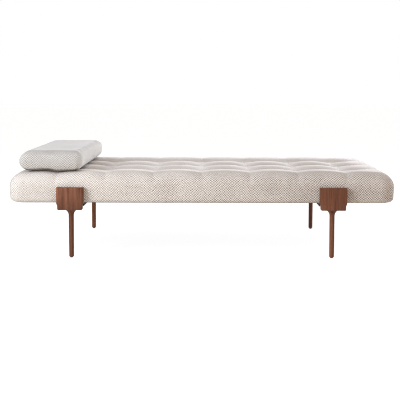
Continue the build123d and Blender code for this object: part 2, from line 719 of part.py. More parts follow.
def zip_pull():
    """Flat pull on the slider's post, lying along the zip."""
    near = CUSHION_HEAD_FACE - SLIDER_GAP - SLIDER_THICK - PULL_GAP
    middle = ZIP_TRAVEL / 2
    half = PULL_WIDTH / 2
    tab = box_between(
        (near - PULL_THICK, middle - PULL_LENGTH + half, ZIP_Z - half),
        (near, middle + half, ZIP_Z + half),
    )
    eye = rod(POST_DIAMETER + 2 * PULL_GAP, PULL_THICK, (near, middle, ZIP_Z), (-1, 0, 0))
    return tab - eye


def pieces():
    """Every piece by its node name."""
    parts = {
        "mattress_cover": mattress_cover(),
        "fibre_wrap": fibre_wrap(),
        "foam_core": foam_core(),
        "tuft_cords": tuft_cords(),
        "tuft_toggles": tuft_toggles(),
        "deck_panel": deck_panel(),
        "deck_screws": deck_screws(),
        "frame_dowels": frame_dowels(),
        "dust_cover": dust_cover(),
        "dust_staples": dust_staples(),
        "tab_bolts": tab_bolts(),
        "tab_washers": tab_washers(),
        "block_bolts": block_bolts(),
        "leg_inserts": leg_inserts(),
        "crossbar_screws": crossbar_screws(),
        "foot_glides": foot_glides(),
        "glide_pins": glide_pins(),
        "cushion_cover": cushion_cover(),
        "cushion_core": cushion_core(),
        "zip_chain": zip_chain(),
        "zip_slider": zip_slider(),
        "zip_pull": zip_pull(),
    }
    leg = front_leg()
    for side_name, side in SIDES.items():
        parts[f"{side_name}_rail"] = long_rail(side)
        turn = 0 if side_name == "front" else 180
        for end_name, end in ENDS.items():
            parts[f"{side_name}_{end_name}_leg"] = Pos(end * LEG_X, 0, 0) * Rot(0, 0, turn) * leg
            parts[f"{side_name}_{end_name}_corner_block"] = corner_block(end, side)
    for end_name, end in ENDS.items():
        parts[f"{end_name}_rail"] = end_rail(end)
        parts[f"{end_name}_bearer"] = bearer(end)
        parts[f"{end_name}_middle_rail"] = middle_rail(end)
        parts[f"{end_name}_crossbar"] = crossbar(end)
    return parts


os.makedirs("parts", exist_ok=True)
for name, shape in pieces().items():
    export_step(shape, f"parts/{name}.step")
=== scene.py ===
import math

import bmesh
import bpy
import numpy as np
from mathutils import Matrix, Vector


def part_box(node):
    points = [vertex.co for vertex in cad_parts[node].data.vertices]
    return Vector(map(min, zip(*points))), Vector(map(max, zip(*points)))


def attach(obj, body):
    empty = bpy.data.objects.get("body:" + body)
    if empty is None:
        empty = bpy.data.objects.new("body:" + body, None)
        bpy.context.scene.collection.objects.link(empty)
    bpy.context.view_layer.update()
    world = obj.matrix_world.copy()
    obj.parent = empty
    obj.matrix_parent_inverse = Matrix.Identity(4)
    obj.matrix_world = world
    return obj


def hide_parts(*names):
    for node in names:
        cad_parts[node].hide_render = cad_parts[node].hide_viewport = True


# Daybed: a tufted herringbone base on walnut legs, with a loose head cushion.
# Metres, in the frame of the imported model.
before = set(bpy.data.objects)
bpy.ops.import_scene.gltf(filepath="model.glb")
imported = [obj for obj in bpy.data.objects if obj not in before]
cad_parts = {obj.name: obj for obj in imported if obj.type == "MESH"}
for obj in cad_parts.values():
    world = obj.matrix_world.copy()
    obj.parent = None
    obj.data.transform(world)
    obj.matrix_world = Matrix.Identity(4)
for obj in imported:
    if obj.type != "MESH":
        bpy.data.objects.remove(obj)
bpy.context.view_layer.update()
base_low, base_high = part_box("mattress_cover")
cushion_low, cushion_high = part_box("cushion_cover")
zip_low, zip_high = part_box("zip_chain")
deck_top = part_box("deck_panel")[1].z
# the shoulders of the legs reach this far below the base
SHOULDER_DROP = 0.033
paddle_low = base_low.z - SHOULDER_DROP

bl_info = {
    "name": "Tufted daybed",
    "version": (1, 0, 0),
    "blender": (4, 5, 0),
    "location": "View3D > Sidebar > Daybed",
    "description": "Dresses the packed daybed with its tufted cover, cushion, timber and stage",
    "category": "Object",
}


def linear(code):
    """A hex colour as linear red, green, blue and alpha."""
    parts = [int(code[i:i + 2], 16) / 255 for i in (1, 3, 5)]
    return tuple(c / 12.92 if c <= 0.04045 else ((c + 0.055) / 1.055) ** 2.4 for c in parts) + (1.0,)


def add(tree, kind, inputs=None, out=0, **settings):
    """Adds a node with its settings, fills or links its inputs, and gives back one of its outputs."""
    made = tree.nodes.new(kind)
    for key, value in settings.items():
        setattr(made, key, value)
    for key, value in (inputs or {}).items():
        if isinstance(value, bpy.types.NodeSocket):
            tree.links.new(value, made.inputs[key])
        else:
            made.inputs[key].default_value = value
    return made.outputs[out] if made.outputs else None


# Settings that a user would change
class DaybedBaseSettings(bpy.types.PropertyGroup):
    columns: bpy.props.IntProperty(name="Columns", description="Puffs along the length", default=8)
    rows: bpy.props.IntProperty(name="Rows", description="Puffs across the width", default=4)
    row_dip: bpy.props.FloatProperty(
        name="Row dip", description="Depth of the valley between two rows", default=0.019, unit="LENGTH")
    column_dip: bpy.props.FloatProperty(
        name="Column dip", description="Depth of the valley between two columns", default=0.0165,
        unit="LENGTH")
    tuft_dip: bpy.props.FloatProperty(
        name="Tuft dip", description="How much deeper a tuft pulls the cloth", default=0.0022,
        unit="LENGTH")
    softness: bpy.props.FloatProperty(
        name="Softness", description="How quickly a puff rises from its valley", default=2.35)
    ease: bpy.props.FloatProperty(
        name="Ease", description="How far a column's valley eases off towards the front edge", default=0.33)
    back_ease: bpy.props.FloatProperty(
        name="Back ease", description="The same towards the back edge, which is stuffed fuller",
        default=0.8)
    crease: bpy.props.FloatProperty(
        name="Crease", description="How narrow a valley is once it runs down the side", default=5.0)
    end_fall: bpy.props.FloatProperty(
        name="End fall", description="How far the outer puffs slope away at the two ends", default=0.0095,
        unit="LENGTH")
    corner_fall: bpy.props.FloatProperty(
        name="Corner fall", description="How much further the corners slope away", default=0.004,
        unit="LENGTH")
    crease_end: bpy.props.FloatProperty(
        name="Crease end", description="Height at which the side creases die out", default=0.366,
        unit="LENGTH")
    roll: bpy.props.FloatProperty(
        name="Roll", description="Radius of the rolled top edge", default=0.075, unit="LENGTH")
    hem: bpy.props.FloatProperty(
        name="Hem", description="Radius of the bottom edge", default=0.020, unit="LENGTH")
    corner: bpy.props.FloatProperty(
        name="Corner", description="Radius of the corners in plan", default=0.085, unit="LENGTH")
    swell: bpy.props.FloatProperty(
        name="Swell", description="How far the two ends swell under the roll", default=0.0035,
        unit="LENGTH")
    tuck: bpy.props.FloatProperty(
        name="Tuck", description="How far the sides draw in towards the hem", default=0.0004,
        unit="LENGTH")
    flutter: bpy.props.FloatProperty(
        name="Flutter", description="Unevenness of the padding", default=0.0014, unit="LENGTH")
    rubbed: bpy.props.FloatProperty(
        name="Rubbed", description="How far the twill is rubbed flat towards the head end", default=0.65)
    # painted shade on the sides towards the foot end
    foot_shade: bpy.props.FloatProperty(
        name="Fresh", description="How much darker the sides look at the foot end", default=0.4)
    step: bpy.props.FloatProperty(
        name="Step", description="Size of the mesh squares", default=0.0075, unit="LENGTH")


class DaybedCushionSettings(bpy.types.PropertyGroup):
    slack: bpy.props.FloatProperty(
        name="Slack", description="How much smaller the cover is before it is filled", default=0.006,
        unit="LENGTH")
    head_roll: bpy.props.FloatProperty(
        name="Head roll", description="Edge radius on the head side", default=0.047, unit="LENGTH")
    foot_roll: bpy.props.FloatProperty(
        name="Foot roll", description="Edge radius on the side towards the foot", default=0.026,
        unit="LENGTH")
    under_roll: bpy.props.FloatProperty(
        name="Under roll", description="The same where it meets the base", default=0.038, unit="LENGTH")
    end_roll: bpy.props.FloatProperty(
        name="End roll", description="Edge radius round the two flat ends", default=0.028, unit="LENGTH")
    sag: bpy.props.FloatProperty(
        name="Sag", description="How far the cushion sinks into the valley under it", default=0.008,
        unit="LENGTH")
    voxel: bpy.props.FloatProperty(
        name="Voxel", description="Mesh size for the filling", default=0.006, unit="LENGTH")
    pressure: bpy.props.FloatProperty(name="Pressure", description="Pressure of the filling", default=4.0)
    cap: bpy.props.FloatProperty(
        name="Cap", description="Furthest that filling may push a point", default=0.009, unit="LENGTH")
    frames: bpy.props.IntProperty(name="Frames", description="Steps of the filling", default=20)


class DaybedClothSettings(bpy.types.PropertyGroup):
    pale: bpy.props.FloatVectorProperty(
        name="Pale thread", description="Lighter yarn of the weave", subtype="COLOR", size=4,
        default=linear("#fbf4ee"))
    dark: bpy.props.FloatVectorProperty(
        name="Dark thread", description="Darker yarn of the weave", subtype="COLOR", size=4,
        default=linear("#62554a"))
    band: bpy.props.FloatProperty(
        name="Band", description="Width of one herringbone band", default=0.052, unit="LENGTH")
    stripe: bpy.props.FloatProperty(
        name="Stripe", description="Pitch of the twill lines", default=0.0132, unit="LENGTH")
    weft: bpy.props.FloatProperty(
        name="Weft", description="Share of the lines across the twill", default=0.42)
    brushed: bpy.props.FloatProperty(
        name="Brushed", description="How far the weave closes up where it is rubbed", default=0.7)
    # these two paint light: how much paler and how much cooler a marked panel is drawn
    turned: bpy.props.FloatProperty(
        name="Turned", description="How much paler a panel with its nap turned looks", default=0.24)
    painted_cool_light: bpy.props.FloatProperty(
        name="Bloom", description="How much cooler a panel with its nap turned looks", default=0.27)
    # also scales the painted shadow along the cushion's lower edge
    seam: bpy.props.FloatProperty(
        name="Seam", description="How much darker the seams of the end panels look", default=0.36)


class DaybedTimberSettings(bpy.types.PropertyGroup):
    pale: bpy.props.FloatVectorProperty(
        name="Pale grain", description="Lightest streaks", subtype="COLOR", size=4,
        default=linear("#9b684e"))
    body: bpy.props.FloatVectorProperty(
        name="Body", description="Main brown", subtype="COLOR", size=4, default=linear("#7b503e"))
    dark: bpy.props.FloatVectorProperty(
        name="Dark grain", description="Darkest streaks", subtype="COLOR", size=4,
        default=linear("#43271b"))
    grain: bpy.props.FloatProperty(
        name="Grain", description="Width of one streak", default=0.012, unit="LENGTH")
    # scales the painted shade and painted light on each leg's paddle and shaft
    painted_shading: bpy.props.FloatProperty(
        name="Oil", description="How much the oil's depth differs between boards", default=1.0)


class DaybedStageSettings(bpy.types.PropertyGroup):
    camera_place: bpy.props.FloatVectorProperty(
        name="Camera", description="Place of the camera", subtype="TRANSLATION", size=3,
        default=(0.020193, -4.61934, 0.905154))
    tilt: bpy.props.FloatProperty(
        name="Tilt", description="Camera below level", subtype="ANGLE", default=0.070005)
    turn: bpy.props.FloatProperty(
        name="Turn", description="Camera turned to the left", subtype="ANGLE", default=0.006819)
    roll: bpy.props.FloatProperty(
        name="Roll", description="Camera turned about its own axis", subtype="ANGLE", default=0.001548)
    lens: bpy.props.FloatProperty(
        name="Lens", description="Focal length in millimetres on a 36 mm frame", default=73.634)
    rise: bpy.props.FloatProperty(name="Shift", description="Vertical lens shift", default=-0.15)
    key: bpy.props.FloatProperty(name="Key", description="Lamp at the left", default=100.0, unit="POWER")
    behind: bpy.props.FloatProperty(
        name="Behind", description="Low lamp behind, which rims the puffs", default=94.0, unit="POWER")
    over: bpy.props.FloatProperty(
        name="Overhead", description="Soft lamp overhead", default=16.5, unit="POWER")
    side: bpy.props.FloatProperty(
        name="Side", description="Lamp at the right, behind", default=20.0, unit="POWER")
    low: bpy.props.FloatProperty(
        name="Low", description="Strip near the floor in front", default=5.0, unit="POWER")
    fill: bpy.props.FloatProperty(
        name="Fill", description="Lamp at the right", default=6.0, unit="POWER")
    sky: bpy.props.FloatProperty(name="Sky", description="Light from all round", default=0.37)


# Materials
def start_material(name):
    material = bpy.data.materials.new(name)
    material.use_nodes = True
    material.node_tree.nodes.clear()
    return material, material.node_tree


def herringbone_cloth(name, s, tint=(1.0, 1.0, 1.0), rubbed_tone_and_shade=0.40, depth=1.0):
    """Woven herringbone in two yarns, matt and slightly hairy.

    The real twill lines are about three times too fine to show and are drawn coarser here.
    """
    pale = tuple(c * t for c, t in zip(s.pale, tint)) + (1.0,)
    dark = tuple(c * t for c, t in zip(s.dark, tint)) + (1.0,)
    material, tree = start_material(name)
    uv = add(tree, "ShaderNodeUVMap", uv_map="weave")
    across = add(tree, "ShaderNodeSeparateXYZ", {0: uv})
    along = across.node.outputs[1]
    object_place = add(tree, "ShaderNodeTexCoord", out=3)
    wander = add(tree, "ShaderNodeTexNoise", {"Vector": object_place, "Scale": 1 / 0.06, "Detail": 2.0})
    drift = add(tree, "ShaderNodeMath", {0: wander, 1: -0.5}, operation="ADD")
    drift = add(tree, "ShaderNodeMath", {0: drift, 1: 0.012}, operation="MULTIPLY")
    across = add(tree, "ShaderNodeMath", {0: across, 1: drift}, operation="ADD")
    zigzag = add(tree, "ShaderNodeMath", {0: across, 1: s.band}, operation="PINGPONG")
    band = add(tree, "ShaderNodeMath", {0: across, 1: s.band}, operation="DIVIDE")
    band = add(tree, "ShaderNodeMath", {0: band}, operation="FLOOR")
    odd = add(tree, "ShaderNodeMath", {0: band, 1: 1.0}, operation="PINGPONG")
    odd = add(tree, "ShaderNodeMath", {0: odd, 1: 0.5}, operation="MULTIPLY")
    # the twill lines, and fainter ones across them where the weft floats: together they read as dots
    lines = []
    for way in ("ADD", "SUBTRACT"):
        run = add(tree, "ShaderNodeMath", {0: along, 1: zigzag}, operation=way)
        run = add(tree, "ShaderNodeMath", {0: run, 1: s.stripe}, operation="DIVIDE")
        run = add(tree, "ShaderNodeMath", {0: run, 1: odd}, operation="ADD")
        line = add(tree, "ShaderNodeMath", {0: run, 1: 0.5}, operation="PINGPONG")
        lines.append(add(
            tree, "ShaderNodeMapRange", {0: line, 1: 0.15, 2: 0.34, 3: 0.0, 4: 1.0},
            interpolation_type="SMOOTHSTEP"))
    line = add(tree, "ShaderNodeMix", {0: s.weft, 2: lines[0], 3: lines[1]})
    # slubs a few millimetres long break the lines up
    slub = add(tree, "ShaderNodeTexNoise", {"Vector": object_place, "Scale": 1 / 0.007, "Detail": 3.0})
    slub = add(tree, "ShaderNodeMapRange", {0: slub, 1: 0.3, 2: 0.7, 3: 0.55, 4: 1.0})
    shade = add(tree, "ShaderNodeMath", {0: line, 1: slub}, operation="MULTIPLY")
    # the twill is rubbed flat on what faces up and where the cover is worn, fading to an even tone; a
    # darker tone there paints shade on the top
    rubbed = add(tree, "ShaderNodeAttribute", out=2, attribute_name="rubbed")
    brushed = add(
        tree, "ShaderNodeMath", {0: rubbed, 1: s.brushed * depth, 2: 1 - depth}, operation="MULTIPLY_ADD")
    shade = add(tree, "ShaderNodeMix", {0: brushed, 2: shade, 3: rubbed_tone_and_shade})
    # broad patches where the yarn lies differently
    cloud = add(tree, "ShaderNodeTexNoise", {"Vector": object_place, "Scale": 1 / 0.16, "Detail": 2.0})
    cloud = add(tree, "ShaderNodeMapRange", {0: cloud, 1: 0.3, 2: 0.7, 3: -0.06, 4: 0.06})
    # painted light: where this attribute is above zero the cloth is drawn paler and cooler, and where it is
    # below zero painted shade draws it darker
    turned = add(tree, "ShaderNodeAttribute", out=2, attribute_name="turned")
    cloud = add(tree, "ShaderNodeMath", {0: turned, 1: -s.turned, 2: cloud}, operation="MULTIPLY_ADD")
    # a seam turns the cloth in and shows as a thin dark line; the same attribute paints shadow along the
    # cushion's lower edge
    seam = add(tree, "ShaderNodeAttribute", out=2, attribute_name="seam")
    cloud = add(tree, "ShaderNodeMath", {0: seam, 1: s.seam, 2: cloud}, operation="MULTIPLY_ADD")
    shade = add(tree, "ShaderNodeMath", {0: shade, 1: cloud}, operation="ADD", use_clamp=True)
    colour = add(
        tree, "ShaderNodeMix", {0: shade, 6: pale, 7: dark}, out=2, data_type="RGBA")
    painted_cool_light = add(tree, "ShaderNodeMath", {0: turned, 1: s.painted_cool_light}, operation="MULTIPLY")
    colour = add(
        tree, "ShaderNodeMix", {0: painted_cool_light, 6: colour, 7: linear("#f0ffff")}, out=2, data_type="RGBA")
    fuzz = add(tree, "ShaderNodeTexNoise", {"Vector": object_place, "Scale": 1 / 0.0025, "Detail": 2.0})
    height = add(tree, "ShaderNodeMath", {0: shade, 1: -0.8}, operation="MULTIPLY")
    height = add(tree, "ShaderNodeMath", {0: fuzz, 1: 0.5, 2: height}, operation="MULTIPLY_ADD")
    bump = add(tree, "ShaderNodeBump", {"Height": height, "Strength": 0.3, "Distance": 0.0005})
    rough = add(tree, "ShaderNodeMapRange", {0: slub, 1: 0.55, 2: 1.0, 3: 0.84, 4: 0.95})
    shader = add(tree, "ShaderNodeBsdfPrincipled", {
        "Base Color": colour, "Roughness": rough, "Normal": bump, "Specular IOR Level": 0.25,
        "Sheen Weight": 0.5, "Sheen Roughness": 0.3})
    add(tree, "ShaderNodeOutputMaterial", {"Surface": shader})
    return material


def oiled_walnut(s):
    """Oiled walnut with its streaks along the leg, satin, darker pores."""
    material, tree = start_material("oiled_walnut")
    place = add(tree, "ShaderNodeTexCoord", out=3)
    slant = add(tree, "ShaderNodeMapping", {"Vector": place, "Rotation": (0.03, 0.05, 0.0),
                                            "Scale": (1.0, 1.0, 0.055)})
    streak = add(tree, "ShaderNodeTexNoise", {
        "Vector": slant, "Scale": 1 / s.grain, "Detail": 5.0, "Roughness": 0.6, "Distortion": 0.4})
    broad = add(tree, "ShaderNodeTexNoise", {
        "Vector": slant, "Scale": 0.25 / s.grain, "Detail": 2.0, "Distortion": 0.8})
    mix = add(tree, "ShaderNodeMath", {0: broad, 1: 0.45}, operation="MULTIPLY")
    mix = add(tree, "ShaderNodeMath", {0: streak, 1: 0.55, 2: mix}, operation="MULTIPLY_ADD")
    ramp = add(tree, "ShaderNodeValToRGB", {0: mix})
    stops = ramp.node.color_ramp.elements
    stops[0].position = 0.34
    stops[0].color = tuple(s.dark)
    stops[1].position = 0.66
    stops[1].color = tuple(s.pale)
    stops.new(0.48).color = tuple(s.body)
    # pores are about a fifth of a millimetre wide, drawn at one millimetre
    fine = add(tree, "ShaderNodeMapping", {"Vector": place, "Scale": (1.0, 1.0, 0.04)})
    pore = add(tree, "ShaderNodeTexNoise", {"Vector": fine, "Scale": 1 / 0.0012, "Detail": 1.0})
    pore = add(tree, "ShaderNodeMapRange", {0: pore, 1: 0.60, 2: 0.72, 3: 0.0, 4: 0.45})
    colour = add(
        tree, "ShaderNodeMix", {0: pore, 6: ramp, 7: tuple(s.dark)}, out=2, data_type="RGBA")
    # painted shade and light: each paddle and each shaft is drawn darker by an amount above zero and paler
    # by one below zero, changing down the foot from one to the other
    level = add(tree, "ShaderNodeSeparateXYZ", {0: place}, out=2)
    ends = [add(tree, "ShaderNodeAttribute", out=2, attribute_name=part) for part in ("shaft_shading", "paddle_shading")]
    painted_shading = add(tree, "ShaderNodeMapRange", {
        0: level, 1: paddle_low - 0.02, 2: paddle_low + 0.07, 3: ends[0], 4: ends[1]})
    colour = add(tree, "ShaderNodeMix", {0: painted_shading, 6: colour, 7: tuple(s.dark)}, out=2, data_type="RGBA")
    painted_light_share = add(tree, "ShaderNodeMath", {0: painted_shading, 1: -1.0}, operation="MULTIPLY")
    colour = add(tree, "ShaderNodeMix", {0: painted_light_share, 6: colour, 7: tuple(s.pale)}, out=2, data_type="RGBA")
    rough = add(tree, "ShaderNodeMapRange", {0: mix, 1: 0.3, 2: 0.7, 3: 0.60, 4: 0.48})
    bump = add(tree, "ShaderNodeBump", {"Height": pore, "Strength": 0.25, "Distance": 0.0002},
               invert=True)
    shader = add(tree, "ShaderNodeBsdfPrincipled", {
        "Base Color": colour, "Roughness": rough, "Normal": bump, "IOR": 1.48,
        "Specular IOR Level": 0.12})
    add(tree, "ShaderNodeOutputMaterial", {"Surface": shader})
    return material


def mottled(name, pale, dark, size, stretch=(1.0, 1.0, 1.0), rough=(0.5, 0.7), metal=0.0, bump=0.0002,
            shine=0.5):
    """A finish that varies softly between two shades, in flecks of one size stretched along the grain."""
    material, tree = start_material(name)
    place = add(tree, "ShaderNodeTexCoord", out=3)
    place = add(tree, "ShaderNodeMapping", {"Vector": place, "Scale": stretch})
    fleck = add(tree, "ShaderNodeTexNoise", {
        "Vector": place, "Scale": 1 / size, "Detail": 4.0, "Roughness": 0.55})
    mix = add(tree, "ShaderNodeMapRange", {0: fleck, 1: 0.3, 2: 0.7, 3: 0.0, 4: 1.0})
    colour = add(
        tree, "ShaderNodeMix", {0: mix, 6: linear(dark), 7: linear(pale)}, out=2, data_type="RGBA")
    gloss = add(tree, "ShaderNodeMapRange", {0: mix, 1: 0.0, 2: 1.0, 3: rough[0], 4: rough[1]})
    relief = add(tree, "ShaderNodeBump", {"Height": fleck, "Strength": 0.4, "Distance": bump})
    shader = add(tree, "ShaderNodeBsdfPrincipled", {
        "Base Color": colour, "Roughness": gloss, "Metallic": metal, "Normal": relief,
        "Specular IOR Level": shine})
    add(tree, "ShaderNodeOutputMaterial", {"Surface": shader})
    return material


def wear(names, material):
    """Gives CAD nodes a finish."""
    for name in names:
        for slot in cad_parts[name].material_slots:
            slot.material = material


# Shared making
def keep(mesh, name, material, body):
    """Places a finished mesh as a piece that rides on a body."""
    piece = bpy.data.objects.new(name, mesh)
    bpy.context.scene.collection.objects.link(piece)
    if not mesh.materials:
        mesh.materials.append(material)
    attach(piece, body)
    return piece


def shaped(mesh, kind, inputs=None, **settings):
    """A plain mesh with one modifier of a kind applied to it."""
    carrier = bpy.data.objects.new("carrier", mesh)
    bpy.context.scene.collection.objects.link(carrier)
    modifier = carrier.modifiers.new("shape", kind)
    for key, value in settings.items():
        setattr(modifier, key, value)
    for key, value in (inputs or {}).items():
        modifier[key] = value
    bpy.context.view_layer.update()
    graph = bpy.context.evaluated_depsgraph_get()
    made = bpy.data.meshes.new_from_object(carrier.evaluated_get(graph))
    carrier.modifiers.clear()
    bpy.data.objects.remove(carrier)
    return made


def run_tree(tree, values, mesh=None):
    """Runs a node tree, on a mesh if one is given, and returns the result as a plain mesh."""
    sockets = [item for item in tree.interface.items_tree if item.in_out == "INPUT"]
    inputs = {item.identifier: values[item.name] for item in sockets if item.name in values}
    return shaped(mesh or bpy.data.meshes.new("carrier"), "NODES", inputs, node_group=tree)


def new_tree(name, inputs, takes_mesh):
    """A node tree with named number inputs, and what feeds and takes its geometry."""
    tree = bpy.data.node_groups.new(name, "GeometryNodeTree")
    if takes_mesh:
        tree.interface.new_socket("Geometry", in_out="INPUT", socket_type="NodeSocketGeometry")
    for label in inputs:
        tree.interface.new_socket(label, in_out="INPUT", socket_type="NodeSocketFloat")
    tree.interface.new_socket("Geometry", in_out="OUTPUT", socket_type="NodeSocketGeometry")
    return tree, tree.nodes.new("NodeGroupInput").outputs


def triples(items, key):
    """One vector for each item of a mesh, such as the places or normals of its points."""
    flat = np.empty(len(items) * 3)
    items.foreach_get(key, flat)
    return flat.reshape(-1, 3)


def set_points(mesh, points):
    mesh.vertices.foreach_set("co", np.asarray(points, float).ravel())
    mesh.update()


def note(mesh, name, values):
    """Keeps one number for each point of a mesh, for its material to read."""
    kept = mesh.attributes.new(name, "FLOAT", "POINT")
    kept.data.foreach_set("value", values)


def ramp(values, start, stop):
    """Goes evenly from 0 at start to 1 at stop, whichever way stop lies."""
    return np.clip((values - start) / (stop - start), 0, 1)


def lay_weave(mesh, front, end, rubbed, **told):
    """Lays the cloth on a cover, from the weave's place at each point for front and end faces.

    The twill is rubbed flat on what faces up and where told. What else is told is noted too.
    """
    corner = np.empty(len(mesh.loops), int)
    mesh.loops.foreach_get("vertex_index", corner)
    sides = np.empty(len(mesh.polygons), int)
    mesh.polygons.foreach_get("loop_total", sides)
    normal = np.abs(triples(mesh.polygons, "normal"))
    faces_front = np.repeat(normal[:, 1] >= normal[:, 0], sides)
    place = np.where(faces_front[:, None], front[corner], end[corner])
    layer = mesh.uv_layers.new(name="weave")
    layer.data.foreach_set("uv", place.ravel())
    topside = ramp(triples(mesh.vertices, "normal")[:, 2], 0.6, 0.95)
    note(mesh, "rubbed", np.maximum(topside, rubbed))
    for name, values in told.items():
        note(mesh, name, values)


# Tufted base
# mesh: squares of a rolled edge, rings round the hem, height of the squares down the sides
ROLL_TURNS, HEM_TURNS, SIDE_STEP = 12, 5, 0.008
# a slab whose side is shorter than this has only a small hem
FULL_SIDE, SMALL_HEM = 0.06, 0.004
# the cloth turns in under the rails this far, and its edge lifts a little
TURN_UNDER, EDGE_IN, EDGE_LIFT = 0.012, 0.014, 0.0015
# the sides draw in from here below the roll
TUCK_START = 0.02
# the ends swell most this far below the roll, and less above and below it
SWELL_BELOW, SWELL_SPREAD = 0.010, 0.075
# an upright seam joins each end panel to the sides, at this angle round the corner from the end
SEAM_ANGLE, SEAM_SPREAD = 22.0, 5.0
# along the bed, where the rubbing and the painted shade on the sides start, and where each is full
RUBBED_FROM, RUBBED_TO = -0.2, -0.9
FOOT_SHADE_FROM, FOOT_SHADE_TO = 0.2, 0.9


def rolled_axis(half, roll, step):
    """Places along one axis: even steps over the flat, equal angles over the rolled edge."""
    flat = half - roll
    middle = np.linspace(-flat, flat, max(2, round(2 * flat / step)) + 1)
    rim = flat + roll * np.sin(np.linspace(0, math.pi / 2, ROLL_TURNS + 1)[1:])
    return np.concatenate([-rim[::-1], middle, rim])


def side_profile(s, start, floor, inset):
    """Side, hem and the turn under the rails: how far in, how high, and the run of the cloth."""
    hem = max(s.hem - inset, SMALL_HEM) if floor < start - FULL_SIDE else SMALL_HEM
    side = start - floor - hem
    levels = np.linspace(start, floor + hem, max(2, round(side / SIDE_STEP)) + 1)[1:]
    draw = s.tuck * ramp(levels, start - TUCK_START, floor) ** 2
    profile = [(d, z, start - z) for d, z in zip(draw, levels)]
    for a in np.linspace(0, math.pi / 2, HEM_TURNS + 1)[1:]:
        inward = s.tuck + hem * (1 - math.cos(a))
        profile.append((inward, floor + hem * (1 - math.sin(a)), side + hem * a))
    inward, z, run = profile[-1]
    profile.append((inward + TURN_UNDER, floor, run + TURN_UNDER))
    profile.append((inward + EDGE_IN, floor + EDGE_LIFT, run + EDGE_IN))
    return profile


def slab_mesh(name, s, inset, floor):
    """The base as a smooth rolled slab down to a floor, drawn in by inset, with its weave laid on."""
    half_x = base_high.x - inset
    half_y = base_high.y - inset
    top = base_high.z - inset
    roll = s.roll - inset
    corner = s.corner - inset
    gx, gy = np.meshgrid(
        rolled_axis(half_x, roll, s.step), rolled_axis(half_y, roll, s.step), indexing="ij")
    sx, sy = np.sign(gx), np.sign(gy)
    # where each point goes in one quarter, which way is out there, and how far it leans over the roll
    dx, dy = np.abs(gx) - (half_x - corner), np.abs(gy) - (half_y - corner)
    reach = np.maximum(dx, dy)
    turned = (dx > 0) & (dy > 0)
    length = np.where(turned, np.hypot(dx, dy), 1.0)
    ox = np.where(turned, dx / length, (dx >= dy) * 1.0)
    oy = np.where(turned, dy / length, (dx < dy) * 1.0)
    px = np.where(turned, half_x - corner + ox * reach, np.abs(gx))
    py = np.where(turned, half_y - corner + oy * reach, np.abs(gy))
    lean = np.clip((roll - (corner - reach)) / roll, 0, 1)
    pz = top - roll * (1 - np.sqrt(1 - lean ** 2))
    # the run of the cloth: flat on top, then round the roll
    arc = roll * np.arcsin(lean)
    rolled = lean > 0
    fx = np.where(rolled & (ox > 0), px - ox * lean * roll, px)
    fy = np.where(rolled & (oy > 0), py - oy * lean * roll, py)
    near_seam = np.exp(-((np.degrees(np.arctan2(oy, ox)) - SEAM_ANGLE) / SEAM_SPREAD) ** 2)
    along, across = (px * sx).ravel(), (py * sy).ravel()
    points = [np.column_stack([along, across, pz.ravel()])]
    front = [np.column_stack([along, ((fy + arc * (oy > 0)) * sy).ravel()])]
    end = [np.column_stack([((fx + arc * (ox > 0)) * sx).ravel(), across])]
    seam = [(near_seam * ramp(lean, 0.2, 0.9)).ravel()]
    nx, ny = gx.shape
    index = np.arange(nx * ny).reshape(nx, ny)
    quads = np.stack([index[:-1, :-1], index[1:, :-1], index[1:, 1:], index[:-1, 1:]], -1)
    faces = quads.reshape(-1, 4).tolist()

    # the sides hang from the rim of the top
    rim = np.concatenate([index[:, 0], index[-1, 1:], index[-2::-1, -1], index[0, -2:0:-1]])
    at_rim = (a.ravel()[rim] for a in (px, py, ox, oy, fx + arc, fy + arc, sx, sy, near_seam))
    rim_x, rim_y, out_x, out_y, run_x, run_y, sign_x, sign_y, rim_seam = at_rim
    upper = rim
    for k, (inward, z, run) in enumerate(side_profile(s, top - roll, floor, inset)):
        x, y = (rim_x - out_x * inward) * sign_x, (rim_y - out_y * inward) * sign_y
        points.append(np.column_stack([x, y, np.full(len(rim), z)]))
        front.append(np.column_stack([x, (run_y + run) * sign_y]))
        end.append(np.column_stack([(run_x + run) * sign_x, y]))
        seam.append(rim_seam)
        lower = nx * ny + k * len(rim) + np.arange(len(rim))
        faces += np.stack([lower, np.roll(lower, -1), np.roll(upper, -1), upper], -1).tolist()
        upper = lower
    faces.append(upper[::-1].tolist())
    points = np.concatenate(points)
    widest = base_high.z - s.roll - SWELL_BELOW
    points[:, 0] *= 1 + s.swell / half_x * np.exp(-((points[:, 2] - widest) / SWELL_SPREAD) ** 2)
    mesh = bpy.data.meshes.new(name)
    mesh.from_pydata(points.tolist(), [], faces)
    mesh.update()
    # the cloth is rubbed towards the head end, and painted shade darkens its sides towards the foot end
    rubbed = s.rubbed * ramp(points[:, 0], RUBBED_FROM, RUBBED_TO)
    on_sides = ramp(points[:, 2], widest + 0.02, widest - 0.02)
    foot_shade = s.foot_shade * on_sides * ramp(points[:, 0], FOOT_SHADE_FROM, FOOT_SHADE_TO)
    lay_weave(
        mesh, np.concatenate(front), np.concatenate(end), rubbed, turned=-foot_shade, seam=np.concatenate(seam))
    return mesh


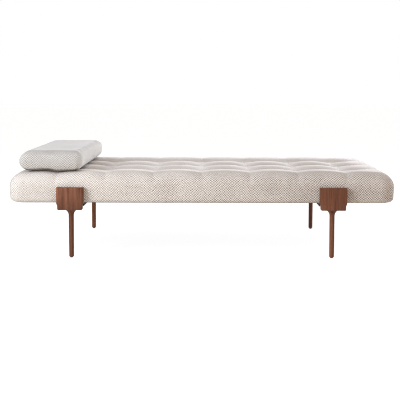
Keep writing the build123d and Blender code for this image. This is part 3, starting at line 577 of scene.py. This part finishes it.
def tufting_tree(material):
    """Pulls a smooth slab into columns and rows of puffs, with creases that run down its sides."""
    labels = ("Column Pitch", "Row Pitch", "Last Column", "Last Row", "Row Dip", "Column Dip",
              "Tuft Dip", "Ease", "Back Ease", "Softness", "Crease", "End Fall", "Corner Fall", "Top",
              "Crease End", "Flutter")
    tree, given = new_tree("tufting", labels, True)
    place = add(tree, "GeometryNodeInputPosition")
    x = add(tree, "ShaderNodeSeparateXYZ", {0: place})
    y, z = x.node.outputs[1], x.node.outputs[2]
    span = add(tree, "ShaderNodeMath", {0: given["Top"], 1: given["Crease End"]}, operation="SUBTRACT")
    below = add(tree, "ShaderNodeMath", {0: given["Top"], 1: z}, operation="SUBTRACT")
    below = add(tree, "ShaderNodeMath", {0: below, 1: span}, operation="DIVIDE", use_clamp=True)
    fade = add(
        tree, "ShaderNodeMapRange", {0: below, 1: 0.0, 2: 1.0, 3: 1.0, 4: 0.0},
        interpolation_type="SMOOTHSTEP")
    power = add(
        tree, "ShaderNodeMapRange", {0: below, 1: 0.0, 2: 1.0, 3: given["Softness"], 4: given["Crease"]})
    # nearness to the closest valley: 1 on its line, 0 on the crest of a puff and past the last puff
    close = []
    beyond = []
    outer = []
    for axis, pitch, last in ((x, "Column Pitch", "Last Column"), (y, "Row Pitch", "Last Row")):
        half = add(tree, "ShaderNodeMath", {0: given[pitch], 1: 0.5}, operation="MULTIPLY")
        away = add(tree, "ShaderNodeMath", {0: axis, 1: half}, operation="PINGPONG")
        away = add(tree, "ShaderNodeMath", {0: away, 1: half}, operation="DIVIDE")
        near = add(tree, "ShaderNodeMath", {0: 1.0, 1: away}, operation="SUBTRACT", use_clamp=True)
        far = add(tree, "ShaderNodeMath", {0: axis}, operation="ABSOLUTE")
        limit = add(tree, "ShaderNodeMath", {0: given[last], 1: half}, operation="ADD")
        inside = add(tree, "ShaderNodeMath", {0: far, 1: limit}, operation="LESS_THAN")
        past = add(tree, "ShaderNodeMath", {0: far, 1: given[last]}, operation="SUBTRACT")
        past = add(tree, "ShaderNodeMath", {0: past, 1: given[pitch]}, operation="DIVIDE", use_clamp=True)
        beyond.append(past)
        outer.append(add(tree, "ShaderNodeMath", {0: past, 1: 1.6}, operation="POWER"))
        close.append(add(tree, "ShaderNodeMath", {0: near, 1: inside}, operation="MULTIPLY"))
    column = add(tree, "ShaderNodeMath", {0: close[0], 1: power}, operation="POWER")
    gather = add(tree, "ShaderNodeMath", {0: close[1], 1: power}, operation="POWER")
    row = add(tree, "ShaderNodeMath", {0: gather, 1: given["Row Dip"]}, operation="MULTIPLY")
    # the row valleys run out over the two ends
    rest = add(
        tree, "ShaderNodeMapRange", {0: beyond[0], 1: 0.1, 2: 0.7, 3: 1.0, 4: 0.1},
        interpolation_type="SMOOTHSTEP")
    row = add(tree, "ShaderNodeMath", {0: row, 1: rest}, operation="MULTIPLY")
    # a column valley falls from each crest to the tuft, and eases off over the long sides
    behind = add(tree, "ShaderNodeMath", {0: y, 1: 0.0}, operation="GREATER_THAN")
    ease = add(tree, "ShaderNodeMix", {0: behind, 2: given["Ease"], 3: given["Back Ease"]})
    eased = add(
        tree, "ShaderNodeMapRange", {0: beyond[1], 1: 0.0, 2: 0.45, 3: 0.0, 4: ease},
        interpolation_type="SMOOTHSTEP")
    eased = add(tree, "ShaderNodeMath", {0: 1.0, 1: eased}, operation="SUBTRACT")
    eased = add(tree, "ShaderNodeMath", {0: eased, 1: given["Column Dip"]}, operation="MULTIPLY")
    fall = add(
        tree, "ShaderNodeMath", {0: gather, 1: given["Tuft Dip"], 2: eased}, operation="MULTIPLY_ADD")
    step = add(tree, "ShaderNodeMath", {0: fall, 1: row}, operation="SUBTRACT")
    pull = add(tree, "ShaderNodeMath", {0: column, 1: step, 2: row}, operation="MULTIPLY_ADD")
    pull = add(
        tree, "ShaderNodeMath", {0: outer[0], 1: given["End Fall"], 2: pull}, operation="MULTIPLY_ADD")
    both = add(tree, "ShaderNodeMath", {0: outer[0], 1: outer[1]}, operation="MULTIPLY")
    pull = add(
        tree, "ShaderNodeMath", {0: both, 1: given["Corner Fall"], 2: pull}, operation="MULTIPLY_ADD")
    pull = add(tree, "ShaderNodeMath", {0: pull, 1: fade}, operation="MULTIPLY")
    # lumps in the padding, about 110 mm across
    lump = add(tree, "ShaderNodeTexNoise", {"Vector": place, "Scale": 9.0, "Detail": 2.0})
    lump = add(tree, "ShaderNodeMath", {0: lump, 1: given["Flutter"]}, operation="MULTIPLY")
    pull = add(tree, "ShaderNodeMath", {0: pull, 1: lump}, operation="ADD")
    pull = add(tree, "ShaderNodeMath", {0: pull, 1: -1.0}, operation="MULTIPLY")
    outward = add(tree, "GeometryNodeInputNormal")
    shift = add(tree, "ShaderNodeVectorMath", {0: outward, "Scale": pull}, operation="SCALE")
    moved = add(tree, "GeometryNodeSetPosition", {"Geometry": given["Geometry"], "Offset": shift})
    moved = add(tree, "GeometryNodeSetShadeSmooth", {"Geometry": moved, "Shade Smooth": True})
    real = add(tree, "GeometryNodeRealizeInstances", {"Geometry": moved})
    done = add(tree, "GeometryNodeSetMaterial", {"Geometry": real, "Material": material})
    add(tree, "NodeGroupOutput", {0: done})
    return tree


def tuft_values(s, top):
    """Inputs of the tufting, for a slab whose crests are at top."""
    column = (base_high.x - base_low.x) / s.columns
    row = (base_high.y - base_low.y) / s.rows
    return {
        "Column Pitch": column, "Row Pitch": row,
        "Last Column": base_high.x - column, "Last Row": base_high.y - row,
        "Row Dip": s.row_dip, "Column Dip": s.column_dip, "Tuft Dip": s.tuft_dip,
        "Ease": s.ease, "Back Ease": s.back_ease, "Softness": s.softness, "Crease": s.crease,
        "End Fall": s.end_fall, "Corner Fall": s.corner_fall,
        "Top": top, "Crease End": s.crease_end, "Flutter": s.flutter}


# the wadding lies this far under the face of the cover, and this far over the deck
WADDING_INSET, WADDING_GAP = 0.0045, 0.0005


class DAYBED_OT_base_cover(bpy.types.Operator):
    """Make the tufted cover of the base and the wadding under it"""
    bl_idname = "daybed.base_cover"
    bl_label = "Tufted base"

    def execute(self, context):
        s = context.scene.daybed_base
        cloth = herringbone_cloth("herringbone_cloth", context.scene.daybed_cloth)
        # carded polyester wadding: white, loose fibres
        wadding = mottled("polyester_wadding", "#f4f3ef", "#dedcd6", 0.004, rough=(0.9, 1.0))
        slab = slab_mesh("tufted_cover", s, 0.0, base_low.z)
        cover = keep(run_tree(tufting_tree(cloth), tuft_values(s, base_high.z), slab),
                     "tufted_cover", cloth, "bed_base")
        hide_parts("mattress_cover")
        under = slab_mesh("wadding", s, WADDING_INSET, deck_top + WADDING_GAP)
        wrap = keep(run_tree(tufting_tree(wadding), tuft_values(s, base_high.z - WADDING_INSET), under),
                    "wadding", wadding, "bed_base")
        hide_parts("fibre_wrap")
        return {"FINISHED"}


# Head cushion
# the underside is pressed flat by this much, and the foam lies this far inside the cover
PRESSED, FOAM_INSET = 0.006, 0.004
# it sinks into the valley in front of here, less behind it, where the back row is fuller
SAG_FULL, SAG_LEAST, SAG_SHARE = 0.2, 0.3, 0.15
# how narrowly it follows the valley
SAG_POWER = 2.4
# along the zip the head side is drawn flat: how deep, over what height, and past what end of the zip
ZIP_DEPTH, ZIP_FLAT, ZIP_PAST = 0.0006, 0.016, 0.05
# painted shadow along the cushion's lower edge, this many times as dark as the seams of the base
LOWER_SHADOW = 2.2


def cushion_ring(half_x, half_z, s, inset):
    """Outline of the cushion seen from the front: full and round at the head side, squarer at the other."""
    corners = (
        (-1, -1, s.head_roll, math.pi), (1, -1, s.under_roll, 1.5 * math.pi),
        (1, 1, s.foot_roll, 0.0), (-1, 1, s.head_roll, 0.5 * math.pi))
    outline = []
    for sx, sz, radius, start in corners:
        r = max(min(radius, half_z) - inset, 0.002)
        for a in np.linspace(start, start + math.pi / 2, 9):
            x = sx * (half_x - inset - r) + r * math.cos(a)
            z = sz * (half_z - inset - r) + r * math.sin(a)
            outline.append((x, z))
    return outline


def cushion_mesh(s):
    """The empty cover, a little smaller than the cushion: a rounded outline carried across the bed."""
    middle = (np.array(cushion_low) + np.array(cushion_high)) / 2
    half = (np.array(cushion_high) - np.array(cushion_low)) / 2 - s.slack
    stations = []
    for a in np.linspace(0, math.pi / 2, 6):
        stations.append((s.end_roll * (1 - math.sin(a)), half[1] - s.end_roll * (1 - math.cos(a))))
    rings = [(inset, -y) for inset, y in stations] + [(inset, y) for inset, y in reversed(stations)]
    points = []
    for inset, y in rings:
        for x, z in cushion_ring(half[0], half[2], s, inset):
            points.append((middle[0] + x, middle[1] + y, middle[2] + z))
    count = len(points) // len(rings)
    faces = [list(range(count)), list(range(len(points) - 1, len(points) - 1 - count, -1))]
    for k in range(len(rings) - 1):
        for i in range(count):
            a, b = k * count + i, k * count + (i + 1) % count
            faces.append((a, a + count, b + count, b))
    form = bmesh.new()
    mesh = bpy.data.meshes.new("head_cushion")
    mesh.from_pydata(points, [], faces)
    form.from_mesh(mesh)
    bmesh.ops.recalc_face_normals(form, faces=form.faces[:])
    form.to_mesh(mesh)
    form.free()
    return mesh


def filled(mesh, s):
    """Fills a closed cover by cloth pressure and caps how far each point moves."""
    scene = bpy.context.scene
    start = triples(mesh.vertices, "co")
    carrier = bpy.data.objects.new("carrier", mesh)
    scene.collection.objects.link(carrier)
    cloth = carrier.modifiers.new("filling", "CLOTH")
    cloth.settings.quality = 6
    cloth.settings.use_pressure = True
    cloth.settings.uniform_pressure_force = s.pressure
    cloth.settings.effector_weights.gravity = 0
    cloth.settings.tension_stiffness = 20
    cloth.settings.compression_stiffness = 20
    cloth.settings.bending_stiffness = 2
    cloth.point_cache.frame_start = 1
    cloth.point_cache.frame_end = s.frames
    for step in range(1, s.frames + 1):
        scene.frame_set(step)
    graph = bpy.context.evaluated_depsgraph_get()
    swollen = bpy.data.meshes.new_from_object(carrier.evaluated_get(graph))
    scene.frame_set(1)
    bpy.data.objects.remove(carrier)
    move = triples(swollen.vertices, "co") - start
    size = np.linalg.norm(move, axis=1, keepdims=True)
    set_points(swollen, start + move * np.minimum(1, s.cap / np.maximum(size, 1e-9)))
    return swollen


def soften(mesh, rounds):
    """Evens out a mesh by averaging neighbours."""
    form = bmesh.new()
    form.from_mesh(mesh)
    for _ in range(rounds):
        bmesh.ops.smooth_vert(
            form, verts=form.verts[:], factor=0.5, use_axis_x=True, use_axis_y=True, use_axis_z=True)
    form.to_mesh(mesh)
    form.free()
    mesh.update()


def fitted(points, low, high):
    """Points stretched to fill a box exactly."""
    bottom, top = points.min(0), points.max(0)
    return np.array(low) + (points - bottom) / (top - bottom) * (np.array(high) - np.array(low))


class DAYBED_OT_head_cushion(bpy.types.Operator):
    """Make the head cushion by filling its cover, and the foam inside it"""
    bl_idname = "daybed.head_cushion"
    bl_label = "Head cushion"

    def execute(self, context):
        s = context.scene.daybed_cushion
        # the cushion has its own copy of the same cloth, drawn slightly greyer and cooler as painted shade,
        # with its rubbed top fading to a darker tone
        cloth = herringbone_cloth(
            "herringbone_cloth_cushion", context.scene.daybed_cloth, (0.828, 0.857, 0.88), rubbed_tone_and_shade=0.52,
            depth=0.65)
        # open-cell polyurethane foam: cream, matt, finely pitted
        foam = mottled("polyurethane_foam", "#efe3b8", "#dccb95", 0.0025, rough=(0.85, 0.95))
        mesh = shaped(cushion_mesh(s), "REMESH", mode="VOXEL", voxel_size=s.voxel)
        mesh = filled(mesh, s)
        soften(mesh, 6)
        low, high = np.array(cushion_low), np.array(cushion_high)
        middle = (low + high) / 2
        # sits flat on the base: what would hang below the floor of the cushion is pressed up
        points = fitted(triples(mesh.vertices, "co"), low - (0, 0, PRESSED), high)
        points[:, 2] = np.maximum(points[:, 2], low[2])
        # and sinks a little into the column valley that it lies across, less over the fuller back row
        pitch = (base_high.x - base_low.x) / context.scene.daybed_base.columns
        valley = base_low.x + pitch * round((middle[0] - base_low.x) / pitch)
        near = 1 - ramp(np.abs(points[:, 0] - valley), 0, pitch / 2)
        under = ramp(points[:, 2], middle[2], low[2])
        forward = np.maximum(ramp(points[:, 1], SAG_LEAST, SAG_FULL), SAG_SHARE)
        points[:, 2] -= s.sag * near ** SAG_POWER * under * forward
        # the head side is drawn flat along the zip
        level = (zip_low.z + zip_high.z) / 2
        band = ramp(np.abs(points[:, 2] - level), 1.6 * ZIP_FLAT, 0.6 * ZIP_FLAT)
        band = band * ramp(np.abs(points[:, 1]), zip_high.y + ZIP_PAST, zip_high.y + 0.2 * ZIP_PAST)
        band = band * (points[:, 0] < low[0] + 0.03)
        points[:, 0] += band * (low[0] + ZIP_DEPTH - points[:, 0])
        set_points(mesh, points)
        inner = mesh.copy()
        mesh = shaped(mesh, "SUBSURF", levels=1, render_levels=1)
        self.lay_cover(mesh, low, high)
        cover = keep(mesh, "head_cushion_cover", cloth, "head_cushion")
        mesh.polygons.foreach_set("use_smooth", [True] * len(mesh.polygons))
        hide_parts("cushion_cover")
        inward = triples(inner.vertices, "normal") * FOAM_INSET
        set_points(inner, triples(inner.vertices, "co") - inward)
        inner.materials.clear()
        core = keep(inner, "head_cushion_foam", foam, "head_cushion")
        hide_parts("cushion_core")
        wear(["foam_core"], foam)
        return {"FINISHED"}

    def lay_cover(self, mesh, low, high):
        """Weave of the cushion: straight over the top, down each side and on round the lower edge."""
        p = triples(mesh.vertices, "co")
        middle, half = (low + high) / 2, (high - low) / 2
        drop = high[2] - p[:, 2]
        away = np.abs(p - middle)
        below = ramp(p[:, 2], middle[2] + 0.015, middle[2] - 0.015)[:, None]
        run = middle + np.sign(p - middle) * (away + 2 * below * (half - away) + drop[:, None])
        front = np.column_stack([p[:, 0], run[:, 1]])
        end = np.column_stack([run[:, 0], p[:, 1]])
        normal = triples(mesh.vertices, "normal")
        footward = ramp(normal[:, 0], 0.35, 0.75)
        # painted shadow: the cloth facing down round the lower edge is drawn darker, where the cushion
        # meets the base
        under_shadow = LOWER_SHADOW * ramp(normal[:, 2], -0.62, -0.87)
        # painted light: the side facing the foot is drawn paler and cooler
        lay_weave(mesh, front, end, 0.5 * footward, turned=footward, seam=under_shadow)


# Zip of the cushion
# how far the middles of the teeth and of the tape lie behind the face, and their thickness
TEETH_BEHIND, TAPE_BEHIND, ZIP_THICK = 0.0005, 0.0013, 0.001
# spacing of the teeth
TOOTH_PITCH = 0.0024


def zip_tree(nylon, tape):
    """A row of zip teeth on its woven tape, along Y."""
    tree, given = new_tree("zip", ("Length", "Pitch", "Width", "Face", "Level"), False)
    count = add(tree, "ShaderNodeMath", {0: given["Length"], 1: given["Pitch"]}, operation="DIVIDE")
    start = add(tree, "ShaderNodeMath", {0: given["Length"], 1: -0.5}, operation="MULTIPLY")
    tooth_x = add(tree, "ShaderNodeMath", {0: given["Face"], 1: TEETH_BEHIND}, operation="ADD")
    first = add(tree, "ShaderNodeCombineXYZ", {0: tooth_x, 1: start, 2: given["Level"]})
    stride = add(tree, "ShaderNodeCombineXYZ", {1: given["Pitch"]})
    row = add(tree, "GeometryNodeMeshLine", {"Count": count, "Start Location": first, "Offset": stride})
    tooth_wide = add(tree, "ShaderNodeMath", {0: given["Width"], 1: 0.72}, operation="MULTIPLY")
    tooth_long = add(tree, "ShaderNodeMath", {0: given["Pitch"], 1: 0.62}, operation="MULTIPLY")
    size = add(tree, "ShaderNodeCombineXYZ", {0: ZIP_THICK, 1: tooth_long, 2: tooth_wide})
    tooth = add(tree, "GeometryNodeMeshCube", {"Size": size, "Vertices Z": 3})
    teeth = add(tree, "GeometryNodeInstanceOnPoints", {"Points": row, "Instance": tooth})
    teeth = add(tree, "GeometryNodeRealizeInstances", {"Geometry": teeth})
    teeth = add(tree, "GeometryNodeSetMaterial", {"Geometry": teeth, "Material": nylon})
    strip_size = add(
        tree, "ShaderNodeCombineXYZ", {0: ZIP_THICK, 1: given["Length"], 2: given["Width"]})
    strip = add(tree, "GeometryNodeMeshCube", {"Size": strip_size})
    strip_x = add(tree, "ShaderNodeMath", {0: given["Face"], 1: TAPE_BEHIND}, operation="ADD")
    strip_place = add(tree, "ShaderNodeCombineXYZ", {0: strip_x, 2: given["Level"]})
    strip = add(tree, "GeometryNodeTransform", {"Geometry": strip, "Translation": strip_place})
    strip = add(tree, "GeometryNodeSetMaterial", {"Geometry": strip, "Material": tape})
    both = add(tree, "GeometryNodeJoinGeometry")
    tree.links.new(teeth, both.node.inputs[0])
    tree.links.new(strip, both.node.inputs[0])
    real = add(tree, "GeometryNodeRealizeInstances", {"Geometry": both})
    add(tree, "NodeGroupOutput", {0: real})
    return tree


class DAYBED_OT_zip(bpy.types.Operator):
    """Make the teeth and tape of the zip, and finish its slider and pull"""
    bl_idname = "daybed.zip"
    bl_label = "Zip"

    def execute(self, context):
        # moulded nylon teeth: pale grey, slightly glossy; tape: woven polyester, matt
        nylon = mottled("nylon_zip", "#cfc9c1", "#b9b1a7", 0.004, rough=(0.32, 0.45))
        tape = mottled("polyester_tape", "#d8d1c8", "#bcb2a6", 0.0015, (1.0, 0.3, 1.0), (0.8, 0.95))
        # die-cast zinc, nickel plated: bright grey, fine brushing
        nickel = mottled("nickel_plate", "#c9c8c4", "#a9a8a4", 0.002, (1.0, 0.1, 1.0), (0.22, 0.36), 1.0)
        values = {
            "Length": zip_high.y - zip_low.y, "Pitch": TOOTH_PITCH, "Width": zip_high.z - zip_low.z,
            "Face": zip_low.x, "Level": (zip_low.z + zip_high.z) / 2}
        mesh = run_tree(zip_tree(nylon, tape), values)
        chain = keep(mesh, "zip_teeth", nylon, "head_cushion")
        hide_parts("zip_chain")
        wear(["zip_slider", "zip_pull"], nickel)
        return {"FINISHED"}


# Legs, frame and hardware
class DAYBED_OT_timber(bpy.types.Operator):
    """Finish the walnut legs and the timber inside the base"""
    bl_idname = "daybed.timber"
    bl_label = "Legs and frame"

    def execute(self, context):
        s = context.scene.daybed_timber
        walnut = oiled_walnut(s)
        # painted shade and light on each leg: how much darker (above 0) and paler (below 0) its paddle and
        # its shaft are drawn
        leg_shading = {
            "front_head_leg": (0.0, 0.5), "front_foot_leg": (0.33, 0.2),
            "rear_head_leg": (-0.2, -0.5), "rear_foot_leg": (-0.2, -0.3),
        }
        for name, painted_shading in leg_shading.items():
            form = bmesh.new()
            form.from_mesh(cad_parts[name].data)
            bmesh.ops.remove_doubles(form, verts=form.verts[:], dist=0.00001)
            mesh = bpy.data.meshes.new(name + "_smooth")
            form.to_mesh(mesh)
            form.free()
            mesh.polygons.foreach_set("use_smooth", [True] * len(mesh.polygons))
            mesh.set_sharp_from_angle(angle=math.radians(32))
            mesh.materials.clear()
            for part, depth in zip(("paddle_shading", "shaft_shading"), painted_shading):
                note(mesh, part, [depth * s.painted_shading] * len(mesh.vertices))
            leg = keep(mesh, "walnut_" + name, walnut, "bed_base")
            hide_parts(name)
        # planed beech: pale, straight fine flecks; birch ply: paler, broad figure
        beech = mottled("planed_beech", "#d9b48c", "#bd9066", 0.006, (0.12, 1.0, 1.0), (0.55, 0.7))
        birch = mottled("birch_plywood", "#dfc69d", "#c6a777", 0.03, (0.15, 1.0, 1.0), (0.55, 0.7))
        inner = [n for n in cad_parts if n.endswith(("_rail", "_corner_block", "_bearer"))]
        wear(inner + ["frame_dowels"], beech)
        wear(["deck_panel"], birch)
        return {"FINISHED"}


class DAYBED_OT_hardware(bpy.types.Operator):
    """Finish the crossbars, fasteners, cords, glides and dust cover"""
    bl_idname = "daybed.hardware"
    bl_label = "Hardware"

    def execute(self, context):
        # powder coat over steel: near-black, fine orange peel, low gloss
        black = mottled("black_powder_coat", "#0f0e0e", "#090808", 0.002, rough=(0.55, 0.68), shine=0.15)
        # spunbonded polypropylene: black, matt, dimpled
        dust = mottled("spunbond_dust_cloth", "#262524", "#161615", 0.003, rough=(0.85, 0.95), bump=0.0006)
        # bright zinc plate: cool grey metal with cloudy gloss
        zinc = mottled("zinc_plate", "#c3c6c8", "#9fa3a6", 0.006, rough=(0.28, 0.42), metal=1.0)
        # turned brass: yellow metal
        brass = mottled("turned_brass", "#d2b16a", "#b08d47", 0.004, rough=(0.25, 0.38), metal=1.0)
        # moulded nylon: dark grey-brown, satin
        nylon = mottled("moulded_nylon", "#3a3430", "#2b2623", 0.003, rough=(0.4, 0.5))
        # waxed cotton twine the colour of the cloth, twisted
        twine = mottled("waxed_twine", "#f0e9df", "#d8cec1", 0.0018, (1.0, 1.0, 0.4), (0.6, 0.75))
        # moulded polypropylene discs: milky white
        disc = mottled("polypropylene_disc", "#e4e2dc", "#d2cfc7", 0.004, rough=(0.4, 0.5))
        wear([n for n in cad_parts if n.endswith("_crossbar")] + ["crossbar_screws"], black)
        wear(["dust_cover"], dust)
        wear(["tab_bolts", "tab_washers", "block_bolts", "deck_screws", "dust_staples", "glide_pins"], zinc)
        wear(["leg_inserts"], brass)
        wear(["foot_glides"], nylon)
        wear(["tuft_cords"], twine)
        wear(["tuft_toggles"], disc)
        return {"FINISHED"}


# Stage
def lamp(name, power, size, place, aim, colour):
    """A soft rectangular lamp at a place, turned to what it lights."""
    data = bpy.data.lights.new(name, "AREA")
    data.energy = power
    data.shape = "RECTANGLE"
    data.size, data.size_y = size
    data.color = linear(colour)[:3]
    obj = bpy.data.objects.new(name, data)
    bpy.context.scene.collection.objects.link(obj)
    way = Vector(place) - Vector(aim)
    obj.matrix_world = Matrix.Translation(place) @ way.to_track_quat("Z", "Y").to_matrix().to_4x4()


def seen_plainly(tree):
    """1 for what the camera sees, straight or in metal and glass, and 0 for what only lights things."""
    camera = add(tree, "ShaderNodeLightPath")
    paths = camera.node.outputs
    ray = add(tree, "ShaderNodeMath", {0: camera, 1: paths["Is Glossy Ray"]}, operation="ADD")
    return add(
        tree, "ShaderNodeMath", {0: ray, 1: paths["Is Transmission Ray"]}, operation="ADD",
        use_clamp=True)


class DAYBED_OT_stage(bpy.types.Operator):
    """Set the floor, lights and camera"""
    bl_idname = "daybed.stage"
    bl_label = "Stage"

    def execute(self, context):
        s = context.scene.daybed_stage
        scene = context.scene
        scene.view_settings.view_transform = "Standard"
        scene.cycles.filter_width = 1.1
        self.floor()
        self.sky(scene, s.sky)
        lamp("key", s.key, (1.8, 1.8), (-2.8, -2.4, 1.8), (-0.4, -0.3, 0.35), "#eef6ff")
        lamp("behind", s.behind, (4.6, 1.4), (1.5, 3.1, 1.15), (0.1, 0.0, 0.45), "#fbf8ff")
        lamp("overhead", s.over, (2.4, 1.6), (-0.2, -1.2, 3.0), (0.0, -0.3, 0.4), "#fffaf4")
        lamp("right_rear", s.side, (1.4, 0.7), (3.8, 0.9, 0.62), (-0.6, 0.0, 0.5), "#fcfdff")
        lamp("low_front", s.low, (3.0, 0.2), (-0.8, -3.2, 0.16), (0.0, 0.4, 0.2), "#fff4e4")
        lamp("right_fill", s.fill, (1.6, 1.6), (3.2, -2.6, 1.4), (0.5, -0.3, 0.35), "#ffa680")
        data = bpy.data.cameras.new("camera")
        data.sensor_width = 36.0
        data.lens = s.lens
        data.shift_y = s.rise
        camera = bpy.data.objects.new("camera", data)
        scene.collection.objects.link(camera)
        turn = Matrix.Rotation(s.turn, 4, "Z")
        nod = Matrix.Rotation(math.pi / 2 - s.tilt, 4, "X")
        camera.matrix_world = (
            Matrix.Translation(s.camera_place) @ turn @ nod @ Matrix.Rotation(s.roll, 4, "Z"))
        scene.camera = camera
        return {"FINISHED"}

    def floor(self):
        """A wide pale floor that reads white and keeps the shadow."""
        mesh = bpy.data.meshes.new("floor")
        r = 30.0
        mesh.from_pydata([(-r, -r, 0), (r, -r, 0), (r, r, 0), (-r, r, 0)], [], [(0, 1, 2, 3)])
        obj = bpy.data.objects.new("floor", mesh)
        bpy.context.scene.collection.objects.link(obj)
        material, tree = start_material("pale_floor")
        glow = add(tree, "ShaderNodeEmission", {"Color": (1, 1, 1, 1), "Strength": 0.89})
        veil = add(tree, "ShaderNodeBsdfDiffuse", {"Color": (0.30, 0.30, 0.30, 1)})
        white = add(tree, "ShaderNodeAddShader", {0: glow, 1: veil})
        plain = add(tree, "ShaderNodeBsdfDiffuse", {"Color": linear("#f4ecdf")})
        both = add(tree, "ShaderNodeMixShader", {0: seen_plainly(tree), 1: plain, 2: white})
        add(tree, "ShaderNodeOutputMaterial", {"Surface": both})
        mesh.materials.append(material)

    def sky(self, scene, strength):
        """White to the camera, soft light to the object."""
        world = bpy.data.worlds.new("studio")
        scene.world = world
        world.use_nodes = True
        tree = world.node_tree
        tree.nodes.clear()
        soft = add(tree, "ShaderNodeBackground", {"Color": linear("#fff9f4"), "Strength": strength})
        white = add(tree, "ShaderNodeBackground", {"Color": (1, 1, 1, 1), "Strength": 1.0})
        both = add(tree, "ShaderNodeMixShader", {0: seen_plainly(tree), 1: soft, 2: white})
        add(tree, "ShaderNodeOutputWorld", {"Surface": both})


OPERATORS = (
    DAYBED_OT_base_cover, DAYBED_OT_head_cushion, DAYBED_OT_zip, DAYBED_OT_timber,
    DAYBED_OT_hardware, DAYBED_OT_stage,
)
SETTINGS = {
    "daybed_base": DaybedBaseSettings,
    "daybed_cushion": DaybedCushionSettings,
    "daybed_cloth": DaybedClothSettings,
    "daybed_timber": DaybedTimberSettings,
    "daybed_stage": DaybedStageSettings,
}


class DAYBED_PT_panel(bpy.types.Panel):
    """Buttons and settings of the daybed"""
    bl_idname = "DAYBED_PT_panel"
    bl_label = "Daybed"
    bl_space_type = "VIEW_3D"
    bl_region_type = "UI"
    bl_category = "Daybed"

    def draw(self, context):
        for kind in OPERATORS:
            self.layout.operator(kind.bl_idname)
        for name, kind in SETTINGS.items():
            group = self.layout.box()
            for key in kind.__annotations__:
                group.prop(getattr(context.scene, name), key)


def register():
    for kind in (*SETTINGS.values(), *OPERATORS, DAYBED_PT_panel):
        bpy.utils.register_class(kind)
    for name, kind in SETTINGS.items():
        setattr(bpy.types.Scene, name, bpy.props.PointerProperty(type=kind))


def unregister():
    for name in SETTINGS:
        delattr(bpy.types.Scene, name)
    for kind in (DAYBED_PT_panel, *reversed(OPERATORS), *reversed(tuple(SETTINGS.values()))):
        bpy.utils.unregister_class(kind)


def main():
    register()
    bpy.ops.daybed.base_cover()
    bpy.ops.daybed.head_cushion()
    bpy.ops.daybed.zip()
    bpy.ops.daybed.timber()
    bpy.ops.daybed.hardware()
    bpy.ops.daybed.stage()


if __name__ == "__main__":
    main()
